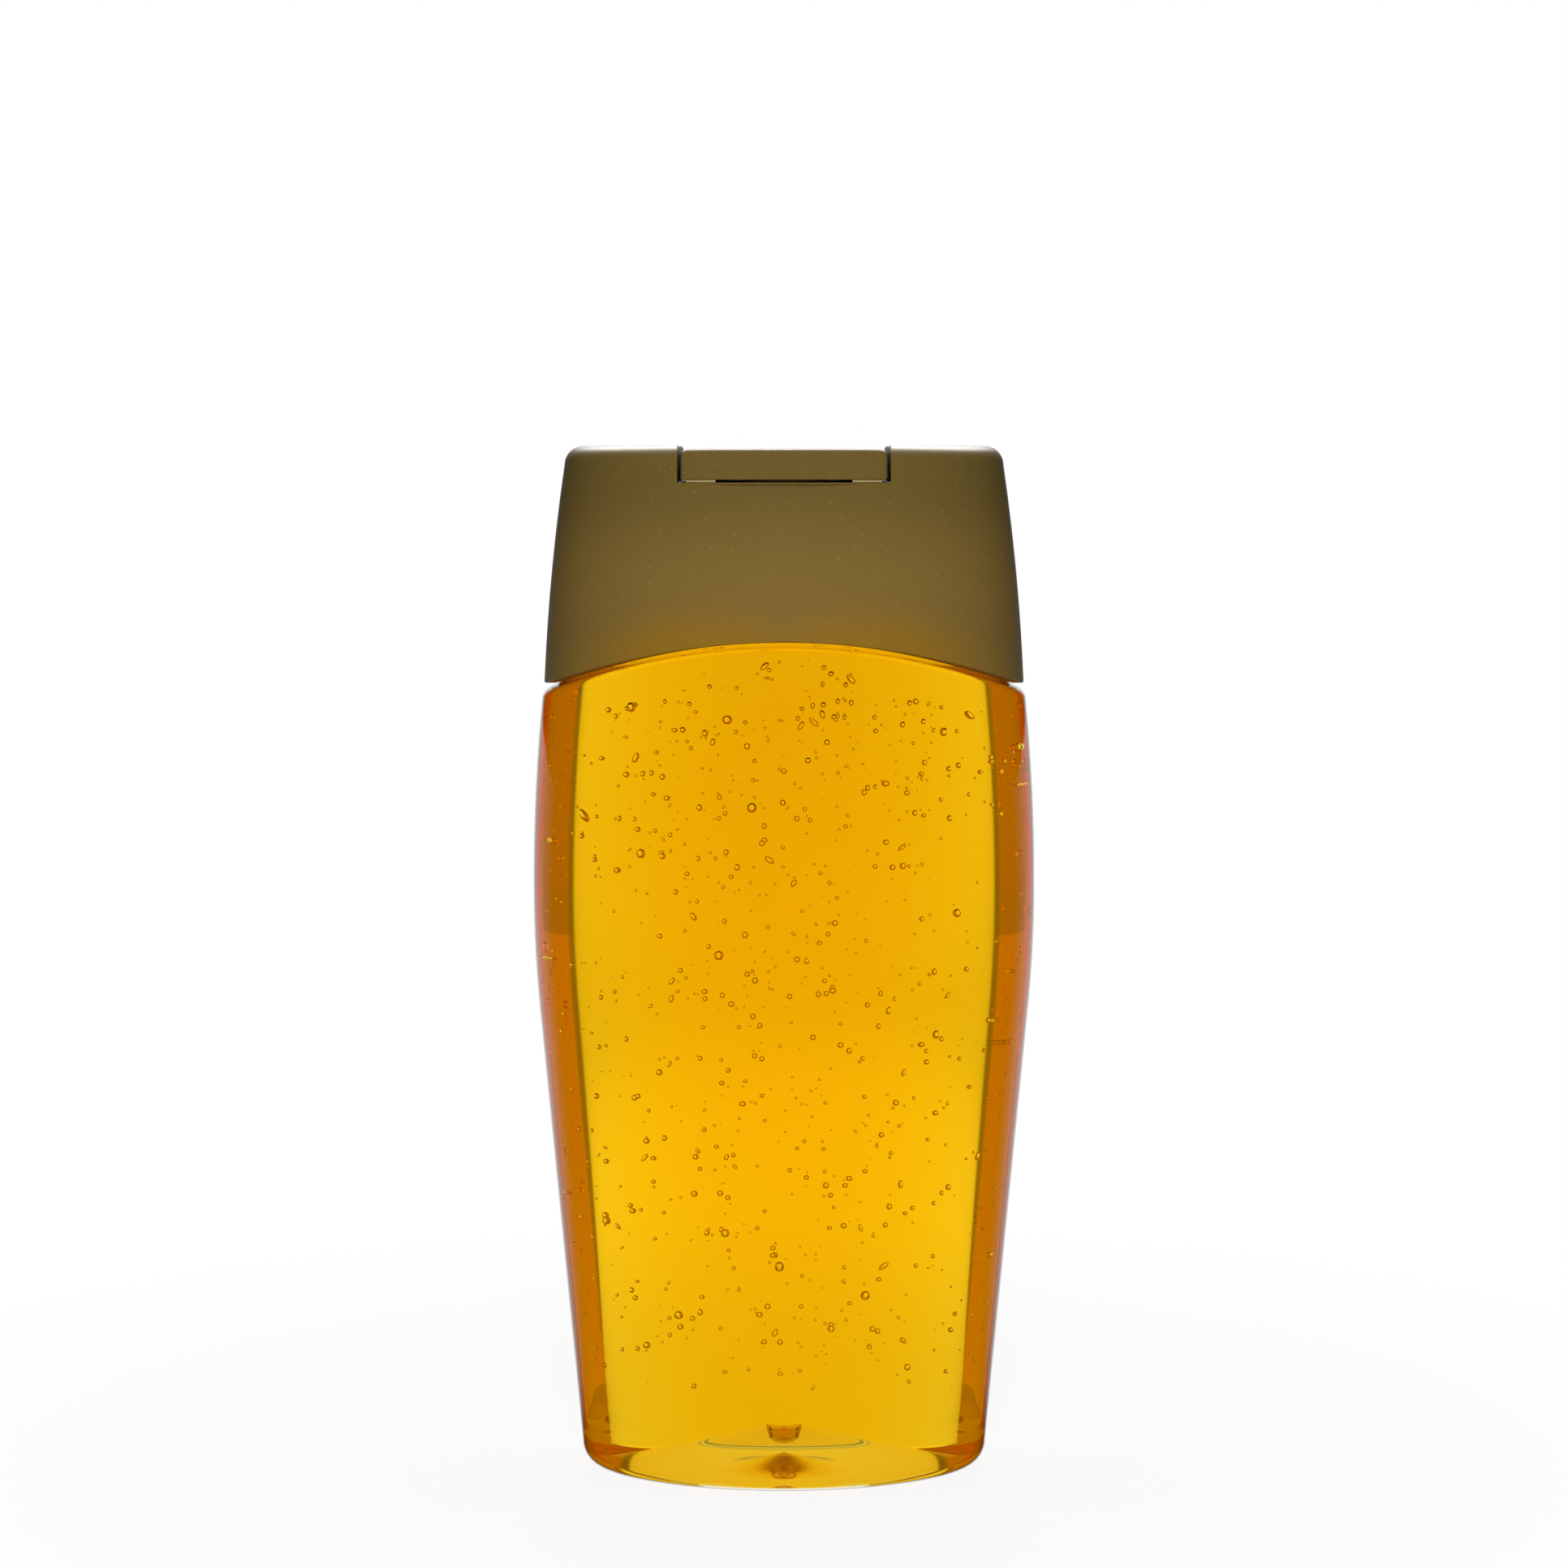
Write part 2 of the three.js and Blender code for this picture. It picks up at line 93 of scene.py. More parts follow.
CAP_DRAFT = math.radians(2.55)
CAP_SIDE_RADIUS = 325
CAP_WALL = 1.6
CAP_TOP = 163.8
CAP_TOP_ROUND = 3
DECK_UNDER = 156.6
DECK_TOP = 158.2
RECESS_HALF = 16.4
RECESS_EDGE = 0.5  # rounding of the recess's upper edges
COLLAR_INNER = 13.9
COLLAR_OUTER = 15.3
COLLAR_LIP = 13.6
COLLAR_LOW = 141.5
COLLAR_CHAMFER = 0.3
COLLAR_SINK = 0.2  # how far under the deck's top the collar's wall ends
PLUG_INNER = 9.9
PLUG_OUTER = 10.9
PLUG_LOW = 152.2
PLUG_EDGE = 0.1
PLUG_SINK = 0.4
SPOUT_BORE = 5
SPOUT_OUTER = 6.5
SPOUT_TOP = 160.9
SPOUT_EDGE = 0.3
SPOUT_SINK = 0.2  # how far above the deck's underside its wall starts
SPOUT_SPARE = 1  # what the wall is thicker by until it is bored
BORE_BELOW = 3  # how far the boring tool passes the deck and the spout's top
BORE_ABOVE = 5
SCOOP_RADIUS = 10
SCOOP_DEPTH = 0.9
SCOOP_BELOW_DECK = 3.5
LID_HALF = 15.95
LID_LOW = 158.63
LID_TOP = 163.4
LID_UNDER = 161.9
LID_WALL = 1.3
LID_TOP_ROUND = 1.2
LID_EDGE = 0.15
LID_INNER_EDGE = 0.4
LID_SINK = 0.42  # how much closer to the deck the lid's edge is on the thumb side
LID_SINK_REACH = 6
CORNER_POWER = 70  # how tight the lid's upright corners are: about half a millimetre
CORNER_DEPTH = 0.9  # where the front corners are looked for, as a share of the closure's depth
LIP_WIDTH = 15
LIP_REACH = 1.9
LIP_THICKNESS = 1.7
LIP_TRIM_HALF = 9  # the block that trims the lip away inside the lid
LIP_TRIM_DEPTH = 4
LIP_TRIM_BELOW = 1
LIP_TRIM_ABOVE = 0.3
LIP_TRIM_GAP = 0.1
STOPPER_INNER = 3.7
STOPPER_OUTER = 4.7
STOPPER_LOW = 159.8
STOPPER_CHAMFER = 0.2
STOPPER_SINK = 0.7  # how far its wall runs up into the lid's top
HINGE_BACK = -20.399
HINGE_HEIGHT = 158.415
STRAP_INNER = 10.5
STRAP_OUTER = 15.1
STRAP_THICKNESS = 0.45
STRAP_COVER = 0.32  # how deep the strap lies under the closure's curved face
STRAP_LOW = 157.3
STRAP_HIGH = 159.53
STRAP_GAP = 0.02
STRAP_THINNING = 0.2  # what its middle is thinner by, and how far up and down that reaches
STRAP_THIN_REACH = 0.45
RELIEF_RADIUS = 2.2
RELIEF_TOP = 157.95
VALVE_HEAD = 4.6  # radii of its head, which fills the spout, and of the flange under the deck
VALVE_FLANGE = 9.6
VALVE_LOW = 155.1
VALVE_LEDGE = 156.3
VALVE_TOP = 157.9
VALVE_DISH = 156.7  # the middle of its hollow upper side
VALVE_WALL = 0.9
VALVE_HOLLOW = (0.45, 0.05)  # how far in and down the hollow underside meets the wall
VALVE_LIP = 0.1
VALVE_FILLET = 0.2
VALVE_EDGE = 0.15
VALVE_TOP_EDGE = 0.25
SLIT_LENGTH = 5.6
SLIT_WIDTH = 0.2
SLIT_CUT = 6
RETAINER_INNER = 5
RETAINER_OUTER = 9.6
RETAINER_LOW = 153
RETAINER_HIGH = 154.8
RETAINER_BEVEL = 0.5
PAST = 30  # how far a cutting form reaches past what it cuts
MARGIN = 1  # how far past a form's own size its faces are still looked for
TOUCH = 0.001  # what counts as the same place
AXIS_LOW = 20  # the wall's faces are seen as outer or inner ones from the axis between these heights
AXIS_HIGH = 110

# The bubbles in the honey, in millimetres
BUBBLES = 1000
BUBBLES_LOW = 14
BUBBLES_RANGE = 118
BUBBLES_RISE = 1.6  # the power by which they gather towards the top
BUBBLE_COVER = 2  # from a bubble's middle to the wall
BUBBLES_SIDE = 8  # how far under the seam they end at the sides, and how much more their top is arched
BUBBLES_ARCH = 5
SPECK_SHARE = 0.6  # of the bubbles, those that show only as dots
LARGE_SHARE = 0.03
SPECK_RADII = (0.12, 0.26)
BALL_RADII = (0.28, 0.5)
LARGE_RADII = (0.5, 0.8)
DRAWN_OUT_SHARE = 0.08
DRAWN_OUT = (1.4, 2.2)  # height to width
NEARLY_ROUND = (0.9, 1.15)
LEAN = 1  # how far a drawn-out bubble leans at most, in radians

# How finely the forms are drawn
GATE_RINGS = 6
BASE_RINGS = 12
BASE_POINTS = GATE_RINGS + BASE_RINGS + 1  # of an outline: those on the base
OVAL_SEGMENTS = 144
ROUND_SEGMENTS = 72
CAP_SEGMENTS = 180
SCOOP_SEGMENTS = 160
LID_SEGMENTS = 96
LIP_SEGMENTS = 64
CORNER_STEPS = 12  # to each side of a corner of the lid
CORNER_STEP = 0.5  # in degrees
STRAP_CUTS = 23

# Where the honey's light is painted on the skirt, and where the closure is painted lighter below and darker
# above, in mm
GLOW_ASIDE = 12
GLOW_HEIGHT = 128
GLOW_HALF_WIDTH = 22
GLOW_HALF_HEIGHT = 12
PAINTED_LIGHT_LOW = 142
PAINTED_LIGHT_HIGH = 159
PAINTED_HIGHLIGHT_LINE = (0.02, 0.13)  # the straps' painted highlight along the hinge line: from its middle to where it has faded
PET_MIRROR = 0.049  # what PET mirrors of a ray that meets it head on
HONEY_PASSES = (0.9744, 0.8706, 0.0625, 1)  # shares of red, green and blue, finer than a hex colour can say
HONEY_PAINTED_GLOW = (1, 0.99, 0, 1)

# The surroundings: brightnesses, and the angles in degrees from straight ahead between which they change
AMBIENT = 0.015
PAPER_WHITE = 1.12
PAPER_OUTER = 0.82
PAPER_FADES = (58, 35)
PAPER_EDGE = 0.2  # the dark edge of the paper behind the bottle
PAPER_ENDS = (48, 43)
PAPER_SIDES = 0.66  # beside the bottle
FLOOR_SIDES = 0.5
SIDES_START = (84, 70)
ROOM_MIRRORED = 0.6  # what the gloss shows of the paper above the floor, and of the floor
ROOM_GLINT = (30, 10)
FLOOR_MIRRORED = 0.45
FLOOR_GLINT = (75, 35)
SHADOW_REACH = (0.06, 0.2)  # metres from the bottle's middle over which the floor's shadow fades to white
SHADOW_WHITE = 0.88
NEAR_FLOOR = (0.03, 0.35)  # seen through the bottle, the floor is painted a little darker near it, a painted shadow, and far from it, a painted falloff of light
NEAR_LIGHT = 0.84
FAR_FLOOR = (0.45, 1.05)
FAR_LIGHT = 0.85
FLOOR_SIZE = 6
CAMERA_PLACE = (0, -0.6, 0.16377)
CAMERA_DIP = 5.1156

random.seed(26)


def half_width(height):
    """Half of the bottle's width: an arc above the widest level, an arc and a straight taper below."""
    up = height - WIDEST_HEIGHT
    radius = UPPER_SIDE_RADIUS if up > 0 else LOWER_SIDE_RADIUS
    on_arc = up if up > 0 else min(-up, radius * math.sin(SIDE_TAPER))
    drop = radius - math.sqrt(radius ** 2 - on_arc ** 2)
    return BODY_WIDTH / 2 - drop - (abs(up) - on_arc) * math.tan(SIDE_TAPER)


def cap_half_width(height):
    up = height - SKIRT_LOW
    at_rim = half_width(SKIRT_LOW) - SKIRT_STEP
    return at_rim - up * math.tan(CAP_DRAFT) - up ** 2 / (2 * CAP_SIDE_RADIUS)


def half_depth(height):
    return half_width(height) * BODY_DEPTH / BODY_WIDTH


def cap_half_depth(height):
    return cap_half_width(height) * BODY_DEPTH / BODY_WIDTH


# How an outline runs at the bottle's narrow ends and on its broad faces: half size, seam, shoulder, heel
SIDE_WAY = (half_width, SEAM_HEIGHT, SHOULDER_RADIUS, HEEL_RADIUS, HEEL_RADIUS)
FACE_WAY = (half_depth, SEAM_HEIGHT + ARCH_RISE, FACE_SHOULDER_RADIUS, FACE_HEEL_RUN, FACE_HEEL_RISE)


def steps(start, end, count):
    """Numbers from start to end in even steps, without the start."""
    return [start + (end - start) * i / count for i in range(1, count + 1)]


def arc(across, up, wide, high, start, end, count):
    """Points on an arc round a centre, angles in degrees."""
    angles = [math.radians(start)] + [math.radians(a) for a in steps(start, end, count)]
    return [(across + wide * math.cos(a), up + high * math.sin(a)) for a in angles]


def inset(outline, distance):
    """An outline moved to its left, which is inwards where it runs from the base outwards and up."""
    moved = []
    for i, (across, up) in enumerate(outline):
        before = outline[max(i - 1, 0)]
        after = outline[min(i + 1, len(outline) - 1)]
        run, rise = after[0] - before[0], after[1] - before[1]
        length = math.hypot(run, rise)
        side = 0 if i == 0 else across - rise / length * distance
        moved.append((side, up + run / length * distance))
    return moved


def oval_rings(side, front, segments=OVAL_SEGMENTS):
    """Oval rings from the outline at the narrow ends and the outline on the broad faces."""
    rings = []
    for (wide, low), (deep, high) in zip(side, front):
        ring = []
        for i in range(segments):
            turn = 2 * math.pi * i / segments
            lift = (high - low) * math.sin(turn) ** 2
            ring.append((wide * math.cos(turn), deep * math.sin(turn), low + lift))
        rings.append(ring)
    return rings


def round_rings(outline, segments=ROUND_SEGMENTS):
    return oval_rings(outline, outline, segments)


def draw_up(name, rings):
    """Draws a shell from a circle by extruding it ring after ring.

    A ring of no width becomes a pole. An outline that ends where it starts becomes a closed tube.
    """
    bpy.ops.object.select_all(action="DESELECT")
    bpy.ops.mesh.primitive_circle_add(vertices=len(rings[0]), radius=MM, fill_type="NOTHING")
    piece = bpy.context.object
    piece.name = piece.data.name = name
    bpy.ops.object.mode_set(mode="EDIT")
    shape = bmesh.from_edit_mesh(piece.data)
    row = shape.verts.layers.int.new("row")
    order = sorted(shape.verts, key=lambda v: round(math.atan2(v.co.y, v.co.x), 5) % (2 * math.pi))
    for i, corner in enumerate(order):
        corner[row] = i
    for number, ring in enumerate(rings):
        if number:
            bpy.ops.mesh.extrude_region_move()
            shape = bmesh.from_edit_mesh(piece.data)
            row = shape.verts.layers.int["row"]
        for corner in [v for v in shape.verts if v.select]:
            corner.co = [MM * size for size in ring[corner[row]]]
    bpy.ops.mesh.select_all(action="SELECT")
    bpy.ops.mesh.remove_doubles(threshold=1e-7)
    bpy.ops.mesh.normals_make_consistent(inside=False)
    bpy.ops.object.mode_set(mode="OBJECT")
    piece.data.attributes.remove(piece.data.attributes["row"])
    return piece


def block(low, high):
    """A box between two corners, for cutting or for shaping further."""
    bpy.ops.object.select_all(action="DESELECT")
    middle = [MM * (a + b) / 2 for a, b in zip(low, high)]
    size = [MM * (b - a) for a, b in zip(low, high)]
    bpy.ops.mesh.primitive_cube_add(size=1, location=middle, scale=size)
    bpy.ops.object.transform_apply(location=True, rotation=True, scale=True)
    return bpy.context.object


def work(piece, other, operation):
    """Cuts another form out of a piece or joins it on, and uses that form up."""
    change = piece.modifiers.new(operation, "BOOLEAN")
    change.operation = operation
    change.object = other
    change.solver = "EXACT"
    bpy.ops.object.select_all(action="DESELECT")
    piece.select_set(True)
    bpy.context.view_layer.objects.active = piece
    bpy.ops.object.modifier_apply(modifier=change.name)
    spent = other.data
    bpy.data.objects.remove(other)
    bpy.data.meshes.remove(spent)


def smooth(piece, degrees):
    bpy.ops.object.select_all(action="DESELECT")
    piece.select_set(True)
    bpy.context.view_layer.objects.active = piece
    bpy.ops.object.shade_smooth_by_angle(angle=math.radians(degrees))


def level_faces(piece):
    """Keeps large flat faces flat to the eye beside their rounded edges."""
    change = piece.modifiers.new("weighted", "WEIGHTED_NORMAL")
    change.keep_sharp = True
    bpy.ops.object.modifier_apply(modifier=change.name)


def finish_piece(piece, body, node, material=None):
    if material:
        piece.data.materials.clear()
        piece.data.materials.append(material)
    if body:
        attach(piece, body)
    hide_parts(node)


def linear(code):
    """An sRGB hex colour as the linear values that a shader takes."""
    parts = [int(code[i:i + 2], 16) / 255 for i in (1, 3, 5)]
    return [p / 12.92 if p <= 0.04045 else ((p + 0.055) / 1.055) ** 2.4 for p in parts] + [1]


# A Mix node has sockets of the same name for each kind of data, so these are told apart by number
FACTOR = 0
NUMBER_A = 2
NUMBER_B = 3
COLOUR_A = 6
COLOUR_B = 7
MIXED = 2


def add(tree, kind, sockets=None, **settings):
    """Adds a node: settings are its own options, and each of the sockets takes a value or a link."""
    made = tree.nodes.new(kind)
    for name, value in settings.items():
        setattr(made, name, value)
    for socket, value in (sockets or {}).items():
        if isinstance(value, bpy.types.NodeSocket):
            tree.links.new(value, made.inputs[socket])
        else:
            made.inputs[socket].default_value = value
    return made


def noise(tree, place, size, detail):
    """A pattern of noise whose marks are about so many millimetres wide."""
    sockets = {"Vector": place, "Scale": 1 / (size * MM), "Detail": detail}
    return add(tree, "ShaderNodeTexNoise", sockets).outputs[0]


def calc(tree, operation, *terms):
    return add(tree, "ShaderNodeMath", dict(enumerate(terms)), operation=operation).outputs[0]


def vector(tree, operation, *terms):
    made = add(tree, "ShaderNodeVectorMath", dict(enumerate(terms)), operation=operation)
    return made.outputs["Value" if operation == "LENGTH" else "Vector"]


def off_axis(tree, place):
    """How far a place is from the bottle's axis."""
    return vector(tree, "LENGTH", vector(tree, "MULTIPLY", place, (1, 1, 0)))


def spread(tree, value, to, over=(0, 1), way="LINEAR"):
    """Leads a value from the range that it runs over to another range."""
    sockets = {"Value": value, "From Min": over[0], "From Max": over[1], "To Min": to[0], "To Max": to[1]}
    return add(tree, "ShaderNodeMapRange", sockets, interpolation_type=way).outputs[0]


def ease(tree, value, to, over):
    """The same along a soft curve."""
    return spread(tree, value, to, over, "SMOOTHSTEP")


def mixed(tree, share, first, second):
    """A colour between two, each of them a hex code or a link."""
    first, second = (linear(colour) if isinstance(colour, str) else colour for colour in (first, second))
    sockets = {FACTOR: share, COLOUR_A: first, COLOUR_B: second}
    return add(tree, "ShaderNodeMix", sockets, data_type="RGBA").outputs[MIXED]


def layered(tree, share, first, second):
    """A surface between two."""
    return add(tree, "ShaderNodeMixShader", {0: share, 1: first.outputs[0], 2: second.outputs[0]})


def new_material(name):
    """An empty material, its node tree and the place on the piece that its patterns follow."""
    material = bpy.data.materials.new(name)
    material.use_nodes = True
    tree = material.node_tree
    tree.nodes.clear()
    return material, tree, add(tree, "ShaderNodeTexCoord").outputs["Object"]


def covered(material, skin, body=None):
    """Gives a material its surface and, where light passes through it, its inside."""
    end = {"Surface": skin.outputs[0]}
    if body:
        end["Volume"] = body.outputs[0]
    add(material.node_tree, "ShaderNodeOutputMaterial", end)
    return material


# Blow-moulded PET: clear and thin, so it shows only as gloss, which gathers towards the edges, with the
# slow waves that a stretched wall has
def clear_pet():
    material, tree, place = new_material("blow_moulded_pet")
    waves = noise(tree, place, size=14, detail=1)
    bump = add(tree, "ShaderNodeBump", {"Height": waves, "Strength": 0.04, "Distance": 0.1 * MM}).outputs[0]
    clear = add(tree, "ShaderNodeBsdfTransparent", {"Color": mixed(tree, waves, "#fefefc", "#ffffff")})
    haze_and_glow = spread(tree, waves, to=(0, 0.03))
    gloss = add(tree, "ShaderNodeBsdfGlossy", {"Color": linear("#ffffff"), "Roughness": haze_and_glow, "Normal": bump})
    slant = add(tree, "ShaderNodeLayerWeight", {"Blend": 0.5, "Normal": bump}).outputs["Facing"]
    mirror = calc(tree, "MULTIPLY_ADD", calc(tree, "POWER", slant, 5), 1 - PET_MIRROR, PET_MIRROR)
    within = add(tree, "ShaderNodeNewGeometry").outputs["Backfacing"]
    share = calc(tree, "MULTIPLY", mirror, calc(tree, "SUBTRACT", 1, within))
    return covered(material, layered(tree, share, clear, gloss))


# The wall's inner side where honey wets it: nothing mirrors there
def wetted_pet():
    material, tree, place = new_material("honey_wetted_pet")
    tint = mixed(tree, noise(tree, place, size=14, detail=1), "#fefefc", "#ffffff")
    return covered(material, add(tree, "ShaderNodeBsdfTransparent", {"Color": tint}))


# The neck and the base are thick PET, which bends and mirrors what is behind it; it is frosted round the gate
def thick_pet():
    material, tree, place = new_material("thick_pet")
    waves = noise(tree, place, size=8, detail=1)
    haze_and_glow = spread(tree, waves, to=(0, 0.04))
    frost = spread(tree, off_axis(tree, place), to=(0.45, 0), over=(0, GATE_RADIUS * MM))
    skin = add(tree, "ShaderNodeBsdfPrincipled", {
        "Base Color": mixed(tree, waves, "#f8f7f2", "#ffffff"), "Roughness": calc(tree, "ADD", haze_and_glow, frost),
        "IOR": 1.57, "Transmission Weight": 1})
    return covered(material, skin)


# The thick base's upper side: against honey PET bends light only a little, so it shows as a faint line. The
# honey's colour hangs on it, most of all in the rod's mark
def wetted_base_pet():
    material, tree, place = new_material("honey_wetted_base_pet")
    tint = mixed(tree, noise(tree, place, size=8, detail=1), "#e6cd74", "#ead27c")
    mark_edge = ROD_MARK_RADIUS * MM
    beside = spread(tree, off_axis(tree, place), to=(0, 1), over=(0.95 * mark_edge, 1.05 * mark_edge))
    skin = add(tree, "ShaderNodeBsdfPrincipled", {
        "Base Color": mixed(tree, beside, "#d5ad30", tint), "Roughness": 0,
        "IOR": 1.054, "Transmission Weight": 1})
    return covered(material, skin)


# Clear blossom honey: it swallows blue at once and green slowly, so it deepens from yellow to orange. A
# painted glow in its volume stands in for the light that a faint haze in it scatters, so that even its
# deepest parts glow amber. Where it wets the base, no surface of its own shows
def blossom_honey():
    material, tree, place = new_material("blossom_honey")
    tint = mixed(tree, noise(tree, place, size=20, detail=2), "#fffcf4", "#ffffff")
    wetting = add(tree, "ShaderNodeAttribute", attribute_name="wets_base").outputs["Fac"]
    skin = add(tree, "ShaderNodeBsdfPrincipled", {
        "Base Color": tint, "Alpha": calc(tree, "SUBTRACT", 1, wetting), "Roughness": 0,
        "IOR": 1.49, "Transmission Weight": 1, "Specular Tint": linear("#000000")})
    depth = add(tree, "ShaderNodeVolumeAbsorption", {"Color": HONEY_PASSES, "Density": 160})
    # Painted glow: the honey's volume gives off light of its own, in place of the light that its haze would
    # scatter
    haze_and_glow = add(tree, "ShaderNodeEmission", {"Color": HONEY_PAINTED_GLOW, "Strength": 1.88})
    body = add(tree, "ShaderNodeAddShader", {0: depth.outputs[0], 1: haze_and_glow.outputs[0]})
    return covered(material, skin, body)


# Moulded polypropylene with a gold-olive pearl pigment: satin, finely grained, with light flecks. The honey's
# light that its thin wall lets through low on the skirt is painted into its colour, and it is painted darker
# towards the top
def pearl_polypropylene():
    material, tree, place = new_material("gold_olive_pearl_polypropylene")
    split = add(tree, "ShaderNodeSeparateXYZ", {0: place}).outputs
    # Painted light and shade: lighter low on the skirt, where the honey's light comes through the wall,
    # darker towards the top
    height = ease(tree, split["Z"], to=(0.9, 0.1), over=(PAINTED_LIGHT_LOW * MM, PAINTED_LIGHT_HIGH * MM))
    drift = calc(tree, "MULTIPLY_ADD", noise(tree, place, size=18, detail=3), 0.15, -0.075)
    base = mixed(tree, calc(tree, "ADD", height, drift), "#655428", "#7b6330")
    # Painted light: two warm patches low on the skirt, one to each side, where the honey's light shows
    # through
    across = calc(tree, "ABSOLUTE", split["X"])
    spot = add(tree, "ShaderNodeCombineXYZ", {0: across, 2: split["Z"]}).outputs[0]
    from_glow = vector(tree, "ADD", spot, (-GLOW_ASIDE * MM, 0, -GLOW_HEIGHT * MM))
    per_half = (1 / (GLOW_HALF_WIDTH * MM), 0, 1 / (GLOW_HALF_HEIGHT * MM))
    far = vector(tree, "LENGTH", vector(tree, "MULTIPLY", from_glow, per_half))
    tone = mixed(tree, ease(tree, far, to=(0.9, 0), over=(0.45, 1.15)), base, "#8a661c")
    fleck = spread(tree, noise(tree, place, size=0.5, detail=1), to=(0, 0.35), over=(0.68, 0.8))
    grain = noise(tree, place, size=0.35, detail=3)
    bump = add(tree, "ShaderNodeBump", {"Height": grain, "Strength": 0.12, "Distance": 0.02 * MM}).outputs[0]
    skin = add(tree, "ShaderNodeBsdfPrincipled", {
        "Base Color": mixed(tree, fleck, tone, "#a38f55"), "Roughness": spread(tree, grain, to=(0.36, 0.5)),
        "Normal": bump, "IOR": 1.49, "Specular IOR Level": 0.4})
    return covered(material, skin)


# The same polypropylene as a thin film, with a painted highlight: pale along the hinge line, dark away from
# it
def film_polypropylene():
    material, tree, place = new_material("stretched_polypropylene_film")
    tone = mixed(tree, noise(tree, place, size=0.3, detail=2), "#b5a272", "#cbba8c")
    height = add(tree, "ShaderNodeSeparateXYZ", {0: place}).outputs["Z"]
    off = calc(tree, "ABSOLUTE", calc(tree, "SUBTRACT", height, HINGE_HEIGHT * MM))
    # Painted highlight: pale along the hinge line, and dark above and below it
    off_highlight = spread(tree, off, to=(0, 1), over=[size * MM for size in PAINTED_HIGHLIGHT_LINE])
    skin = add(tree, "ShaderNodeBsdfPrincipled", {
        "Base Color": mixed(tree, off_highlight, tone, "#5b4a24"), "Roughness": 0.35, "IOR": 1.49})
    return covered(material, skin)


def plain_plastic(name, size, colours, dullness, ior):
    """A plastic that varies a little between two colours, and is duller where it is lighter."""
    material, tree, place = new_material(name)
    grain = noise(tree, place, size, detail=2)
    skin = add(tree, "ShaderNodeBsdfPrincipled", {
        "Base Color": mixed(tree, grain, *colours), "Roughness": spread(tree, grain, to=dullness),
        "IOR": ior})
    return covered(material, skin)


# Moulded silicone rubber: milky and soft to the eye, with a dull skin
def silicone_rubber():
    colours = ("#e6dfd2", "#f0ebe2")
    return plain_plastic("moulded_silicone_rubber", size=3, colours=colours, dullness=(0.5, 0.65), ior=1.41)


# Natural polypropylene: undyed, so it is waxy and a little grey-yellow
def natural_polypropylene():
    colours = ("#dcd5c3", "#e8e2d2")
    return plain_plastic("natural_polypropylene", size=0.6, colours=colours, dullness=(0.4, 0.55), ior=1.49)


def skin_outline(half_at, seam, shoulder, heel_run, heel_rise):
    """The bottle's outer skin, from the middle of its base to the root of its neck."""
    standing = half_at(heel_rise) - heel_run
    ring = standing - CONTACT_RING
    wall_top = seam - shoulder
    points = []
    for part in [0] + steps(0, 1, GATE_RINGS):
        points.append((GATE_RADIUS * part, PUSH_UP + GATE_RISE * (1 - part) ** GATE_POWER))
    for part in steps(0, 1, BASE_RINGS):
        points.append((GATE_RADIUS + (ring - GATE_RADIUS) * part, PUSH_UP * (1 - part)))
    points += arc(standing, heel_rise, heel_run, heel_rise, -90, 0, count=14)
    points += [(half_at(z), z) for z in steps(heel_rise, wall_top, count=44)[:-1]]
    ledge = half_at(wall_top) - shoulder
    points += arc(ledge, wall_top, shoulder, shoulder, 0, 90, count=8)
    for part in steps(0, 1, count=14):
        rise = (NECK_ROOT - seam) * math.sin(part * math.pi / 2)
        points.append((ledge + (NECK_RADIUS + NECK_FILLET - ledge) * part, seam + rise))
    return points


def inside_outline(way, wall, bore):
    """Over the base's thick middle with the rod's mark, up the skin set in by a wall, into the bore."""
    within = inset(skin_outline(*way), wall)
    ring, low = within[BASE_POINTS - 1]

    def floor_height(out):
        return low + (FLOOR_CREST + wall - low) * (1 - out / ring)

    floor = []
    for part in (0, ROD_MARK_FLAT / 2, ROD_MARK_FLAT, (1 + ROD_MARK_FLAT) / 2, 1):
        dent = ROD_MARK_DEPTH * min(1, (1 - part) / (1 - ROD_MARK_FLAT))
        floor.append((ROD_MARK_RADIUS * part, floor_height(ROD_MARK_RADIUS) - dent))
    slope = steps(ROD_MARK_RADIUS, ring, BASE_POINTS - len(floor))
    within[:BASE_POINTS] = floor + [(out, floor_height(out)) for out in slope]
    root = within.pop()
    middle = NECK_ROOT + NECK_FILLET
    return within + arc(root[0], middle, root[0] - bore, middle - root[1], -90, -180, count=6)


def bottle_outline(way):
    root, fillet = NECK_ROOT + NECK_FILLET, NECK_FILLET
    neck = arc(NECK_RADIUS + fillet, root, fillet, fillet, -90, -180, count=6)
    bead = BEAD_LOW + BEAD_RADIUS - NECK_RADIUS
    neck += [(NECK_RADIUS, BEAD_LOW), (BEAD_RADIUS - BEAD_EDGE, bead), (BEAD_RADIUS, bead + BEAD_EDGE)]
    neck += [(BEAD_RADIUS, BEAD_LOW + BEAD_HEIGHT / 2), (NECK_RADIUS, BEAD_LOW + BEAD_HEIGHT)]
    neck += arc(NECK_RADIUS - RIM_ROUND, NECK_RIM - RIM_ROUND, RIM_ROUND, RIM_ROUND, 0, 90, count=4)
    neck += arc(NECK_BORE + RIM_ROUND, NECK_RIM - RIM_ROUND, RIM_ROUND, RIM_ROUND, 90, 180, count=4)
    inside = inside_outline(way, BOTTLE_WALL, NECK_BORE)
    return skin_outline(*way)[:-1] + neck + inside[::-1]


